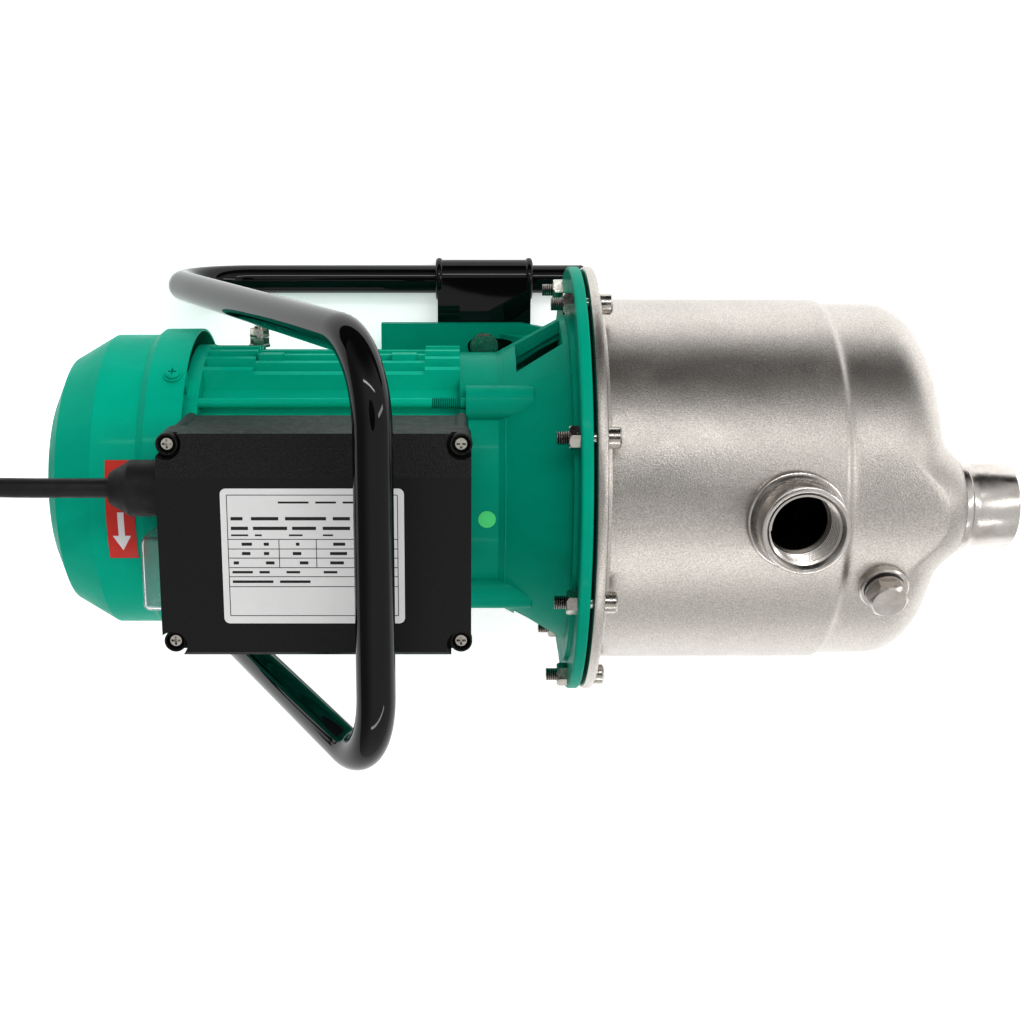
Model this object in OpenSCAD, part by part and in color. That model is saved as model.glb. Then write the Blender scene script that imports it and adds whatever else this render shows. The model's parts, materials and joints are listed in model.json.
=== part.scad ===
// Shallow well jet pump: a finned single-phase motor, a cast lantern, a sheet-steel
// pump housing with an ejector inside, a terminal box with its switch, and a bent-tube
// carrying frame.  +X points out of the suction port, +Z out of the discharge port.
// The origin is on the floor, under the middle of the pump.

/* [Overall] */
// Height of the shaft axis above the floor
shaft_height = 122.5; // [122.5:0.5:126]

/* [Pump housing] */
// Radius of the housing behind the step
housing_r = 91.3; // [90.5:0.1:92]
// Radius of the housing in front of the step
housing_front_r = 89.3; // [88.5:0.1:90]
// Where the step lies along the housing
housing_step_x = 147.7; // [144:0.5:149]
// Thickness of the housing's sheet
housing_wall = 1.8; // [1.5:0.1:2]
// Radius of the corner between the side and the nose
nose_corner_r = 26; // [24:0.5:27]
// Slope of the nose, measured from upright
nose_slope = 17; // [16:0.5:18]
// Radius of both clamped flanges
flange_r = 107.6; // [107:0.1:108]
// Thickness of the housing's flange
steel_flange_t = 5.3; // [5:0.1:5.6]

/* [Ports] */
// Radius of the wall inside a port's one-inch pipe thread
port_thread_r = 15.145; // [15.1:0.005:15.2]
// Length of a port's thread
port_thread_len = 18; // [16:0.5:19]
// Outer radius of a port's socket
port_r = 20; // [19.5:0.1:20.5]
// Height of the suction port above the shaft
suction_rise = 60; // [59:0.5:61]
// Mouth of the suction port
suction_mouth_x = 229.5; // [229:0.5:230]
// Place of the discharge port along the housing
discharge_x = 123; // [120:0.5:124]
// Mouth of the discharge port, above the shaft
discharge_rise = 112.3; // [111:0.1:114]
// Place of the filler plug along the housing
filler_x = 167; // [166:0.5:168]
// Lean of the filler plug away from upright
filler_lean = 22; // [20:0.5:24]
// Depth of the drain plug below the shaft
drain_drop = 62; // [60:0.5:63]

/* [Impeller and ejector] */
// Radius of the impeller
impeller_r = 62; // [60:0.5:63]
// Number of impeller vanes
impeller_vanes = 6; // [5:1:7]
// Number of diffuser vanes
diffuser_vanes = 9; // [7:1:11]
// Radius of the venturi's throat
throat_r = 6; // [5:0.5:7]
// Radius of the jet nozzle's tip
nozzle_tip_r = 3.2; // [3:0.1:3.6]

/* [Lantern] */
// Radius of the ring that takes the motor
adapter_r = 64.5; // [64:0.1:65]
// Half width of the foot plate
foot_half_w = 69; // [68:0.5:70]
// Thickness of the foot plate
foot_t = 7.5; // [7:0.1:8]
// Half the distance between the two foot bolts
foot_bolt_y = 56; // [55:0.5:57]
// Number of bolts that clamp the flanges
flange_bolts = 8; // [8:1:8]
// Radius of the circle that those bolts lie on
flange_bolt_circle_r = 100.6; // [100.4:0.1:100.8]

/* [Motor] */
// Rear face of the finned stator frame
frame_rear_x = -155; // [-156:0.5:-154]
// Front face of the finned stator frame
frame_front_x = -30.5; // [-31:0.5:-30.5]
// Radius that the cooling fins reach
fin_r = 66; // [65:0.5:67]
// Distance between cooling fins
fin_pitch = 10; // [9.5:0.5:10.5]
// Radius of the stator core
core_r = 56; // [56:0.5:56.5]
// Radius of the rotor
rotor_r = 31.6; // [31:0.1:31.7]
// Distance of the tie bolts from the shaft
tie_r = 66; // [65.5:0.5:66.5]
// Number of fan blades
fan_blades = 8; // [6:1:10]

/* [Fan cover] */
// Radius of the fan cover
cover_r = 73.4; // [73:0.1:74]
// Radius of the fan cover's flared rim
cover_rim_r = 76.5; // [76:0.1:77]
// Front edge of the rim
cover_rim_x = -160.5; // [-161:0.5:-160]
// Rear face of the fan cover
cover_rear_x = -229.5; // [-230:0.5:-229]

/* [Terminal box] */
// Length of the cover
box_l = 132.6; // [132:0.1:133]
// Width of the cover
box_w = 96; // [95:0.5:97]
// Middle of the box along the motor
box_x = -91.8; // [-92:0.1:-91.5]
// Underside of the box above the shaft
box_floor_rise = 74; // [73.5:0.5:74.5]
// Line between base and cover above the shaft
box_split_rise = 115; // [114:0.5:116]
// Top of the cover above the shaft
box_top_rise = 140; // [139:0.5:141]
// Thickness of the plastic walls
box_wall = 2.6; // [2.4:0.1:3]
// Angle between the rocker and the switch's face
rocker_tilt = 10; // [8:1:12]

/* [Carrying frame] */
// Radius of the frame's tube
tube_r = 8; // [8:0.5:8]
// Wall of the frame's tube
tube_wall = 1.5; // [1.2:0.1:2]
// Half the distance between the two runners
frame_half_w = 89.5; // [89:0.1:90.5]
// How far the frame stands off the middle of the pump
frame_shift_y = 3; // [2.5:0.5:3.5]
// Front end of the runners
runner_front_x = 38.6; // [38:0.1:40]
// Where the runners' line meets the line of the uprights
runner_rear_x = -203; // [-204:0.1:-202]
// Place of the grip along the pump
grip_x = -64.3; // [-65:0.1:-63]
// Height of the grip above the shaft
grip_rise = 180; // [179:0.5:181]
// Radius of the tube's bends
bend_r = 35; // [34:0.5:36]

/* [Hidden] */
$fn = 72;
OVERLAP = 0.01;          // lets cutters run past a face
THREAD_GAP = 0.05;       // between a screw and its nut
foot_bolt_x = -16.6;     // in the slots beside the bolt holes
EARTH_PLACE = [-134, 0, -20];  // from the shaft axis, pointing towards +Y
BEND_LAP = 0.5;          // how far a straight tube runs into a bend
TUBE_STEP = 0.06;        // its wall is this much thinner on each side there
FIT = 0.02;              // between parts pressed on the shaft

STEEL = "lightgrey";
SHEET = "gainsboro";
GREEN = "mediumseagreen";
BLACK = "dimgray";

// Places along the shaft
lantern_face_x = 29.3;
lantern_flange_t = 5.8;
seat_depth = 1.6;
plate_t = 2;
gasket_t = 1;
seal_plate_x = lantern_face_x - seat_depth;
gasket_x = seal_plate_x + plate_t;
steel_face_x = gasket_x + gasket_t;
housing_back_x = steel_face_x + steel_flange_t;
seal_plate_r = 96;
nose_start_x = 175.7;
suction_seat_x = 205.5;
suction_collar_r = 22.6;

// Heights above the floor
runner_z = shaft_height - 114.5;
foot_top_z = shaft_height - 96;
foot_under_z = foot_top_z - foot_t;
box_floor_z = shaft_height + box_floor_rise;
box_split_z = shaft_height + box_split_rise;
box_top_z = shaft_height + box_top_rise;
box_gasket_t = 1.5;
grip_z = shaft_height + grip_rise;

// The shaft's steps: fan seat, rear bearing, rotor, front bearing, seal and impeller
shaft_rear_x = -203;
rear_bearing_x = -164;
rear_bearing_w = 11;
front_bearing_x = -25;
front_bearing_w = 12;
core_x = -130;
core_l = 75;
fan_seat_r = 6;
rear_seat_r = 7.5;
rotor_seat_r = 11;
front_seat_r = 8.5;
pump_seat_r = 7;
shaft_front_x = 60;

impeller_x = 34;
impeller_w = 15;
eye_r = 20;

gland_y = 17;
gland_rise = 100;
gland_wall_x = box_x - 63.7;
gland_tip_x = -186.4;
switch_y = -21;
switch_rise = 96;
rocker_pin_in = 3;
cord_r = 4.5;

// The cord's free run: out of the gland, down to the floor and on to the coil
CORD_POINTS = [
    [-186.4, 17, 222.5], [-206, 17, 222.5], [-226, 17, 222.2], [-244, 17, 220.5],
    [-262, 17, 216], [-279, 17, 208], [-294, 17, 196], [-306, 17, 180], [-315, 17, 161],
    [-321, 17, 140], [-325, 17, 118], [-327, 17, 96], [-328, 17, 74], [-329, 17, 54],
    [-332, 17, 36], [-339, 17, 20], [-351, 17, 9], [-366, 17, 4.6],
];
coil_x = -394;
coil_y = -33;
coil_in_r = 36.5;
coil_out_r = 63.5;
coil_h = 18;
// From the coil over its lower turns and down to the plug
plug_x = -442;
plug_y = -106;
plug_z = 19;
LEAD_POINTS = [
    [-447.6, -40.5, 13.6], [-445.2, -58, 13.6], [-443.4, -74, 14.2], [-442.4, -90, 16.6],
    [plug_x, plug_y, plug_z],
];

// ---- shared shapes ----

function unit(v) = v / norm(v);
// Points of an arc, as [radius from the axis, place along it]
function arc(r_mid, x_mid, r, a0, a1, n = 8) =
    [for (i = [0:n]) let (a = a0 + (a1 - a0) * i / n) [r_mid + r * sin(a), x_mid + r * cos(a)]];

// Stands a shape that was made along +Z on the shaft axis, at x
module on_shaft(x = 0) { translate([x, 0, shaft_height]) rotate([0, 90, 0]) children(); }

// A shape turned about the shaft axis, from [radius, x] points
module turned(points) { on_shaft() rotate_extrude() polygon(points); }

module rod(x, length, r) { on_shaft(x) cylinder(h = length, r = r); }

module ring(x, length, r_out, r_in) {
    turned([[r_in, x], [r_out, x], [r_out, x + length], [r_in, x + length]]);
}

// Copies round the shaft axis, first at angle a0 from the top
module around_shaft(count, a0 = 0) {
    for (i = [0:count - 1])
        translate([0, 0, shaft_height]) rotate([a0 + i * 360 / count, 0, 0]) children();
}

module hexagon(across, height) { cylinder(h = height, d = across / cos(30), $fn = 6); }

// A plate with round corners, lying on z = 0
module round_plate(length, width, height, r) {
    linear_extrude(height) square_round(length, width, r);
}

module square_round(length, width, r) {
    union() {
        square([length - 2 * r, width], center = true);
        square([length, width - 2 * r], center = true);
        for (sx = [-1, 1], sy = [-1, 1])
            translate([sx * (length / 2 - r), sy * (width / 2 - r)]) circle(r, $fn = 32);
    }
}

// ---- pump housing and its fittings ----

// Outer line of the housing's shell, moved inwards by the given amount
function shell_line(inset) = let (
    corner = nose_corner_r - inset,
    mid_r = housing_front_r - nose_corner_r,
    end_a = nose_slope,
    end_r = mid_r + corner * sin(end_a),
    end_x = nose_start_x + corner * cos(end_a)
) concat(
    [[housing_r - inset, housing_step_x], [housing_front_r - inset, housing_step_x + 2]],
    arc(mid_r, nose_start_x, corner, 90, end_a, 12),
    [[0, end_x + end_r * tan(nose_slope)]]
);

// The swelling that the suction socket stands on, round the socket's own axis
module suction_swell(inset) {
    fillet_r = 14;
    swell_r = 34 - inset;
    translate([0, 0, shaft_height + suction_rise]) rotate([0, 90, 0]) rotate_extrude()
        polygon(concat(
            [[0, 150], [swell_r, 150]],
            arc(swell_r - fillet_r, suction_seat_x - fillet_r - inset, fillet_r, 90, 0, 8),
            [[0, suction_seat_x - inset]]
        ));
}

module housing_solid(inset) {
    union() {
        turned(concat([[0, steel_face_x + 1], [housing_r - inset, steel_face_x + 1]],
                      shell_line(inset)));
        intersection() {
            suction_swell(inset);
            rod(140, 80, housing_front_r - inset);
        }
    }
}

module flange_bolt_holes(r) {
    around_shaft(flange_bolts, 180 / flange_bolts)
        translate([0, 0, flange_bolt_circle_r]) rotate([0, 90, 0])
            cylinder(h = 60, r = r, center = false);
}

module pump_housing() {
    edge = 1.6;
    root = 3;
    color(SHEET) difference() {
        union() {
            housing_solid(0);
            turned(concat(
                [[0, steel_face_x]],
                arc(flange_r - edge, steel_face_x + edge, edge, 180, 90, 4),
                arc(flange_r - edge, housing_back_x - edge, edge, 90, 0, 4),
                [for (p = arc(housing_r + root, housing_back_x + root, root, 180, 270, 4)) p],
                [[0, housing_back_x + root]]
            ));
        }
        housing_solid(housing_wall);
        rod(steel_face_x - 1, 5, housing_r - housing_wall);
        flange_bolt_holes(3.3);
        translate([discharge_x, 0, shaft_height]) cylinder(h = 120, r = port_r - 1);
        on_suction() translate([0, 0, -16]) cylinder(h = 40, r = port_r - 1);
        // Room for the socket where the nose bulges past its seat
        on_suction() rotate_extrude() polygon([
            [0, 0.02], [suction_collar_r + 0.02, 0.02], [suction_collar_r + 0.02, 0.6],
            [suction_collar_r - 0.98, 1.62], [port_r + 0.02, 5.62], [port_r + 0.02, 20],
            [0, 20],
        ]);
        on_filler() translate([0, 0, -12]) cylinder(h = 20, r = 9);
        on_drain() translate([0, 0, -20]) cylinder(h = 40, r = 9);
    }
}

// Both port sockets: a collar at the sheet, a neck and a chamfered mouth
module port_socket(height, collar_r, collar_h) {
    neck = 1.5;
    mouth_r = 17.6;
    step = 1.2;
    rotate_extrude() polygon(concat(
        [[port_thread_r, 0], [collar_r, 0], [collar_r, collar_h - 1], [collar_r - 1, collar_h]],
        [[port_r + neck, collar_h], [port_r, collar_h + 4], [port_r, height - 0.8],
         [port_r - 0.8, height], [mouth_r, height], [mouth_r - step, height - 2.4],
         [port_thread_r, height - 3.4]]
    ));
}

// The suction socket's seat: +Z out along it, 0 on the face that it is welded to
module on_suction() {
    translate([suction_seat_x, 0, shaft_height + suction_rise]) rotate([0, 90, 0]) children();
}

module suction_socket() {
    color(STEEL) union() {
        on_suction() port_socket(suction_mouth_x - suction_seat_x, suction_collar_r, 1.6);
        on_suction() translate([0, 0, -3])
            difference() {
                cylinder(h = 3, r = port_r - 1.1);
                translate([0, 0, -1]) cylinder(h = 5, r = port_thread_r);
            }
    }
}

module discharge_socket() {
    base = housing_r + 0.1;
    collar_r = 23;
    color(STEEL) difference() {
        union() {
            translate([discharge_x, 0, shaft_height + base])
                port_socket(discharge_rise - base, collar_r, 3);
            // Skirt that follows the housing's curve down from the collar
            difference() {
                translate([discharge_x, 0, shaft_height + base - 5])
                    cylinder(h = 5, r = collar_r);
                rod(discharge_x - 40, 80, housing_r + 0.05);
            }
            translate([discharge_x, 0, shaft_height + base - 6]) cylinder(h = 6, r = port_r - 1.1);
        }
        translate([discharge_x, 0, shaft_height + base - 20]) cylinder(h = 40, r = port_thread_r);
    }
}

// The filler plug's seat: +Z out along the plug, 0 on the housing's surface
module on_filler() {
    translate([filler_x, 0, shaft_height]) rotate([filler_lean, 0, 0])
        translate([0, 0, housing_front_r]) children();
}

// The drain plug's seat, low on the nose
module on_drain() {
    translate([207, 0, shaft_height - drain_drop]) rotate([0, 90, 0]) children();
}

// A welded boss with a threaded hole, standing from depth up to height
module plug_boss(depth, height) {
    difference() {
        union() {
            translate([0, 0, -depth]) cylinder(h = depth, r = 8.9);
            cylinder(h = height - 0.8, r = 11.5);
            translate([0, 0, height - 0.8]) cylinder(h = 0.8, r1 = 11.5, r2 = 10.7);
        }
        translate([0, 0, -depth - 1]) cylinder(h = depth + height + 2, r = 7.3);
    }
}

// A hexagon plug with a collar and a threaded shank, its underside at z = 0
module hex_plug(shank) {
    difference() {
        union() {
            translate([0, 0, -shank]) cylinder(h = shank, r = 7);
            cylinder(h = 1.5, r = 9.3);
            translate([0, 0, 1.5]) intersection() {
                hexagon(16.5, 6.8);
                cylinder(h = 6.8, r1 = 14.4, r2 = 7.6);
            }
        }
        translate([0, 0, -shank - 1]) cylinder(h = shank - 2, r = 4.5);
    }
}

module plug_seal() {
    difference() {
        cylinder(h = 1.2, r = 9.3);
        translate([0, 0, -1]) cylinder(h = 4, r = 7.1);
    }
}

filler_boss_h = 3.4;
module filler_boss() {
    color(STEEL) difference() {
        union() {
            on_filler() plug_boss(4, filler_boss_h);
            difference() {
                on_filler() translate([0, 0, -1.5]) cylinder(h = 1.6, r = 11.5);
                rod(filler_x - 30, 60, housing_front_r + FIT, $fn = 720);
            }
        }
        rod(filler_x - 30, 60, housing_front_r - housing_wall - 0.4, $fn = 720);
        on_filler() translate([0, 0, -8]) cylinder(h = 20, r = 7.3);
    }
}
module filler_seal() { color("black") on_filler() translate([0, 0, filler_boss_h]) plug_seal(); }
module filler_plug() {
    color(STEEL) on_filler() translate([0, 0, filler_boss_h + 1.2]) hex_plug(10);
}

drain_boss_h = 5;
module drain_boss() { color(STEEL) on_drain() plug_boss(9, drain_boss_h); }
module drain_seal() { color("black") on_drain() translate([0, 0, drain_boss_h]) plug_seal(); }
module drain_plug() {
    color(STEEL) on_drain() translate([0, 0, drain_boss_h + 1.2]) hex_plug(10);
}

module housing_gasket() {
    color("black") ring(gasket_x, gasket_t, seal_plate_r, housing_r - 0.5);
}

// The plate behind the impeller, drawn into a cup for the shaft seal
module seal_plate() {
    cup_r = 17;
    cup_x = 9;
    color(SHEET) turned([
        [cup_r - 6, cup_x], [cup_r, cup_x], [cup_r, seal_plate_x], [seal_plate_r, seal_plate_x],
        [seal_plate_r, gasket_x], [cup_r - plate_t, gasket_x], [cup_r - plate_t, cup_x + plate_t],
        [cup_r - 6, cup_x + plate_t],
    ]);
}

module shaft_seal_seat() { color("ivory") ring(11, 6, 14.9, 7.6); }

// Carbon ring, its spring shown as a sleeve with grooves, and its collar
module shaft_seal_ring() {
    color("black") turned([
        [pump_seat_r + FIT, 17.3], [12.5, 17.3], [12.5, 21], [11, 21], [11, 23], [12, 23],
        [12, 25], [11, 25], [11, 27], [12, 27], [12, 29], [11, 29], [11, 31], [13, 31],
        [13, impeller_x], [pump_seat_r + FIT, impeller_x],
    ]);
}

// Closed impeller: back plate, curved vanes and a shroud that rises to the eye
module impeller() {
    back_t = 2.5;
    hub_r = 12;
    vane_t = 2;
    vane_r = 46;
    shroud_t = 2;
    color("khaki") difference() {
        union() {
            ring(impeller_x, back_t, impeller_r, pump_seat_r + FIT);
            ring(impeller_x, impeller_w - 2, hub_r, pump_seat_r + FIT);
            turned([
                [eye_r, impeller_x + impeller_w + 6], [eye_r, impeller_x + 11],
                [impeller_r, impeller_x + 7.5], [impeller_r, impeller_x + 7.5 + shroud_t],
                [eye_r + 3, impeller_x + 11 + shroud_t], [eye_r + 3, impeller_x + impeller_w + 6],
            ]);
            intersection() {
                around_shaft(impeller_vanes) translate([impeller_x, 0, 0]) rotate([0, 90, 0])
                    translate([0, vane_r - 4, 0]) difference() {
                        cylinder(h = 12, r = vane_r);
                        translate([0, 0, -1]) cylinder(h = 14, r = vane_r - vane_t);
                        translate([-100, -50, -1]) cube([100, 200, 14]);
                        translate([-1, 0, -1]) cube([100, 100, 14]);
                    }
                turned([
                    [hub_r - 1, impeller_x + 1], [impeller_r - 0.2, impeller_x + 1],
                    [impeller_r - 0.2, impeller_x + 8], [eye_r - 2, impeller_x + 11.5],
                    [hub_r - 1, impeller_x + 11.5],
                ]);
            }
        }
    }
}

module impeller_nut() {
    color(STEEL) difference() {
        on_shaft(impeller_x + impeller_w - 2) hexagon(17, 8);
        rod(impeller_x, 40, 5 + THREAD_GAP);
    }
}

// Guide ring round the impeller: a front wall with the eye's neck, vanes and a rim
module diffuser() {
    wall_x = impeller_x + 22;
    rim_r = 84;
    color("wheat") union() {
        turned([
            [eye_r + 3.4, impeller_x + 14.5], [eye_r + 6, impeller_x + 14.5], [eye_r + 6, wall_x],
            [rim_r, wall_x], [rim_r, wall_x + 3], [eye_r - 1, wall_x + 3],
            [eye_r - 1, wall_x], [eye_r + 3.4, wall_x],
        ]);
        ring(wall_x - 20, 20, rim_r, rim_r - 3);
        around_shaft(diffuser_vanes) translate([wall_x - 20, 0, impeller_r + 2])
            rotate([-35, 0, 0]) translate([0, -1.5, 0]) cube([20 + 1, 3, 17]);
    }
}

venturi_end_x = impeller_x + 25;
chamber_x = 138;
chamber_end_x = 181;
chamber_r = 27;
chamber_wall = 3;
riser_r = 16;
riser_x = 163;

module ejector_passage(grow) {
    union() {
        // Suction chamber, the riser and the branch to the suction socket
        rod(chamber_x + chamber_wall - grow,
            chamber_end_x - chamber_x - 2 * (chamber_wall - grow), chamber_r - chamber_wall + grow);
        translate([riser_x, 0, shaft_height]) cylinder(h = suction_rise, r = riser_r - 3 + grow);
        translate([riser_x, 0, shaft_height + suction_rise]) sphere(r = riser_r - 3 + grow);
        translate([riser_x, 0, shaft_height + suction_rise]) rotate([0, 90, 0])
            cylinder(h = 202.2 - riser_x, r = riser_r - 3 + grow);
    }
}

// Venturi tube, suction chamber and riser, moulded in one
module ejector_body() {
    color("wheat") difference() {
        union() {
            turned([
                [0, venturi_end_x], [eye_r + 4, venturi_end_x], [eye_r + 4, venturi_end_x + 3],
                [eye_r - 1, venturi_end_x + 6],
                [throat_r + 5, chamber_x - 14], [throat_r + 8, chamber_x],
                [0, chamber_x],
            ]);
            ejector_passage(chamber_wall);
        }
        ejector_passage(0);
        translate([riser_x, 0, shaft_height + suction_rise]) rotate([0, 90, 0])
            cylinder(h = 60, r = riser_r - 3);
        turned([
            [0, venturi_end_x - 1], [eye_r - 4, venturi_end_x - 1],
            [eye_r - 4, venturi_end_x + 4], [throat_r, chamber_x - 14], [throat_r, chamber_x - 6],
            [throat_r + 5, chamber_x + 4], [0, chamber_x + 4],
        ]);
        rod(chamber_end_x - chamber_wall - 1, 10, 12);
    }
}

// The nozzle that aims housing water into the throat, screwed into the chamber's end
module jet_nozzle() {
    color("goldenrod") turned([
        [7, chamber_end_x + 6], [14, chamber_end_x + 6], [14, chamber_end_x],
        [11.8, chamber_end_x], [11.8, chamber_end_x - 8], [9, chamber_end_x - 14],
        [nozzle_tip_r + 1.5, chamber_x + 8], [nozzle_tip_r, chamber_x + 8],
        [7, chamber_end_x - 12],
    ]);
}

// ---- lantern ----

lantern_cone_x = -12;
lantern_pad_x = 21.5;
lantern_pad_r = 83;
lantern_rim_r = 94.4;
front_hub_r = 26;

module tie_places() {
    for (a = [45, 135, 225, 315])
        translate([0, 0, shaft_height]) rotate([a, 0, 0]) translate([0, 0, tie_r]) children();
}

module lantern_foot() {
    web_x = -28;
    slot_r = 4.5;
    difference() {
        union() {
            translate([-75, -foot_half_w, foot_under_z]) cube([80, 2 * foot_half_w, foot_t]);
            // Strips that run on to the flange between its nuts, with a gusset on each side
            translate([0, -28, foot_under_z]) cube([26, 56, foot_t]);
            for (s = [-1, 1]) {
                translate([0, 0, foot_under_z]) linear_extrude(foot_t)
                    polygon([[4, s * 50], [26, s * 50], [26, s * 65], [4, s * foot_half_w]]);
                translate([0, s * 60 + 3, foot_top_z - 1]) rotate([90, 0, 0]) linear_extrude(6)
                    polygon([[-8, 0], [26, 0], [26, 42], [18, 42]]);
            }
            // Upright webs and a cross web under the motor ring
            for (s = [-1, 1])
                translate([web_x, s * 27 - 3.5, foot_top_z - 1])
                    cube([52, 7, shaft_height - foot_top_z - 48]);
            translate([web_x + 6, -27, foot_top_z - 1]) cube([8, 54, 50]);
        }
        for (s = [-1, 1], x = [-21.5, -3.5])
            translate([x, s * foot_bolt_y, 0]) cylinder(h = 60, r = slot_r);
        for (s = [-1, 1])
            translate([-21.5, s * foot_bolt_y - slot_r, 0]) cube([18, 2 * slot_r, 60]);
    }
}

module lantern() {
    wall = 5;
    lip_r = adapter_r + 2;
    edge = 1.4;
    back_x = lantern_face_x - lantern_flange_t;
    color(GREEN) difference() {
        union() {
            // Flange, its raised back pad, the cone and the motor ring
            turned(concat(
                [[60, back_x]],
                arc(flange_r - edge, back_x + edge, edge, 180, 90, 4),
                arc(flange_r - edge, lantern_face_x - edge, edge, 90, 0, 4),
                [[60, lantern_face_x]]
            ));
            turned([
                [60, back_x + 1], [lantern_rim_r, back_x + 1], [lantern_rim_r - 1, lantern_pad_x],
                [lantern_pad_r, lantern_pad_x], [adapter_r, lantern_cone_x],
                [adapter_r - wall, lantern_cone_x], [adapter_r - wall, lantern_cone_x + 4],
                [lantern_pad_r - wall - 1, lantern_pad_x], [60, lantern_pad_x],
            ]);
            ring(-30.5, 27, adapter_r, core_r - 4);
            ring(-9, 5.5, lip_r, core_r - 4);
            // Spigot in the stator frame, bearing disc and bearing hub
            ring(-34.5, 5, core_r - 0.1, core_r - 4);
            ring(-14, 7, core_r + 1, front_hub_r - 2);
            tie_places() translate([-27.5, 0, 0]) rotate([0, 90, 0]) cylinder(h = 32, r = 8.5);
            for (s = [-1, 1])
                translate([-6, 0, shaft_height - 3]) linear_extrude(6)
                    polygon([[0, s * (adapter_r - 4)], [0, s * adapter_r], [28.5, s * 82],
                             [28.5, s * 72]]);
            intersection() {
                lantern_foot();
                difference() {
                    translate([-100, -120, 0]) cube([126, 240, 240]);
                    rod(-40, 80, adapter_r - 1);
                }
            }
        }
        // Seat of the seal plate, and the open middle in front of the bearing disc
        rod(lantern_face_x - seat_depth, 10, seal_plate_r + 0.3);
        rod(lantern_pad_x - 2, 10, 60);
        turned([
            [0, lantern_cone_x + 5.1], [adapter_r - wall - 1, lantern_cone_x + 5.1],
            [lantern_pad_r - wall - 6, lantern_pad_x - 2], [0, lantern_pad_x - 2],
        ]);
        rod(-60, 46, core_r - 4);
        translate([-10, 0, 0]) flange_bolt_holes(3.3);
        tie_places() translate([-31, 0, 0]) rotate([0, 90, 0]) cylinder(h = 22.5, r = 2.6);
        // Side windows, above and below each side rib
        for (s = [-1, 1], z = [5, -35])
            translate([-3, s * 80 - 40, shaft_height + z]) cube([22, 80, 30]);
    }
    // Hub of the front bearing, with a lip on the pump's side
    color(GREEN) ring(-27, 20, front_hub_r, 20 + FIT);
    color(GREEN) ring(front_bearing_x + front_bearing_w, 6, 21, 11);
}

module flange_screws() {
    color(STEEL) around_shaft(flange_bolts, 180 / flange_bolts)
        translate([0, 0, flange_bolt_circle_r]) rotate([0, 90, 0]) difference() {
            union() {
                translate([0, 0, 13]) cylinder(h = housing_back_x - 13, r = 3);
                translate([0, 0, housing_back_x]) cylinder(h = 5.2, r = 5);
                translate([0, 0, housing_back_x + 5.2]) cylinder(h = 0.8, r1 = 5, r2 = 4.2);
            }
            translate([0, 0, housing_back_x + 3]) hexagon(5, 4);
        }
}

module flange_nuts() {
    back_x = lantern_face_x - lantern_flange_t;
    color(STEEL) around_shaft(flange_bolts, 180 / flange_bolts)
        translate([0, 0, flange_bolt_circle_r]) rotate([0, 90, 0])
            translate([0, 0, back_x - 5]) difference() {
                intersection() {
                    hexagon(10, 5);
                    cylinder(h = 5, r1 = 5.1, r2 = 8);
                }
                translate([0, 0, -1]) cylinder(h = 7, r = 3 + THREAD_GAP);
            }
}

// ---- motor ----

// One flat fin on each side at height z, longer at its two ends
module side_fins(z) {
    t = 2.6;
    steps = [[frame_rear_x, 24, 2], [frame_rear_x + 24, 84, 0], [frame_front_x - 17, 17, 2]];
    for (s = steps)
        intersection() {
            translate([s[0], -90, shaft_height + z - t / 2]) cube([s[1], 180, t]);
            rod(s[0], s[1], fin_r + s[2]);
        }
}

module under_fins(y) {
    t = 2.6;
    intersection() {
        translate([frame_rear_x, y - t / 2, shaft_height - 90])
            cube([frame_front_x - frame_rear_x, t, 60]);
        rod(frame_rear_x, frame_front_x - frame_rear_x, fin_r + 1);
    }
}

module stator_frame() {
    length = frame_front_x - frame_rear_x;
    color(GREEN) difference() {
        union() {
            rod(frame_rear_x, length, core_r + 3.6);
            for (i = [-3:3]) side_fins(i * fin_pitch);
            for (i = [-3:3]) under_fins(i * fin_pitch);
            // Seat of the terminal box, and the two cast pads on each side
            translate([frame_rear_x + 6, -40, shaft_height + 30])
                cube([length - 12, 80, box_floor_rise - 30]);
            for (s = [-1, 1], x = [-124, -58])
                translate([x - 6, s * 61 - 5, shaft_height + 8]) cube([12, 10, 8]);
        }
        rod(frame_rear_x - 1, length + 2, core_r);
        // Way for the wires up into the terminal box
        translate([-75, 0, shaft_height]) cylinder(h = 90, r = 11);
        on_earth_boss() cylinder(h = 90, r = 2.9);
    }
}

module stator_core() {
    slots = 24;
    color("slategray") difference() {
        ring(core_x, core_l, core_r - 0.05, rotor_r + 0.4);
        around_shaft(slots) translate([core_x - 1, -2, 36]) cube([core_l + 2, 4, 13]);
        around_shaft(slots) translate([core_x - 1, -0.8, 30]) cube([core_l + 2, 1.6, 8]);
    }
}

module stator_windings() {
    slots = 24;
    head_l = 18;
    color("peru") union() {
        for (x = [core_x - head_l, core_x + core_l])
            turned([
                [36, x], [36, x + head_l], [49, x + head_l], [52, x + head_l - 4],
                [52, x + 4], [49, x],
            ]);
        around_shaft(slots) translate([core_x, -1.9, 36.2]) cube([core_l, 3.8, 12.6]);
    }
}

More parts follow.
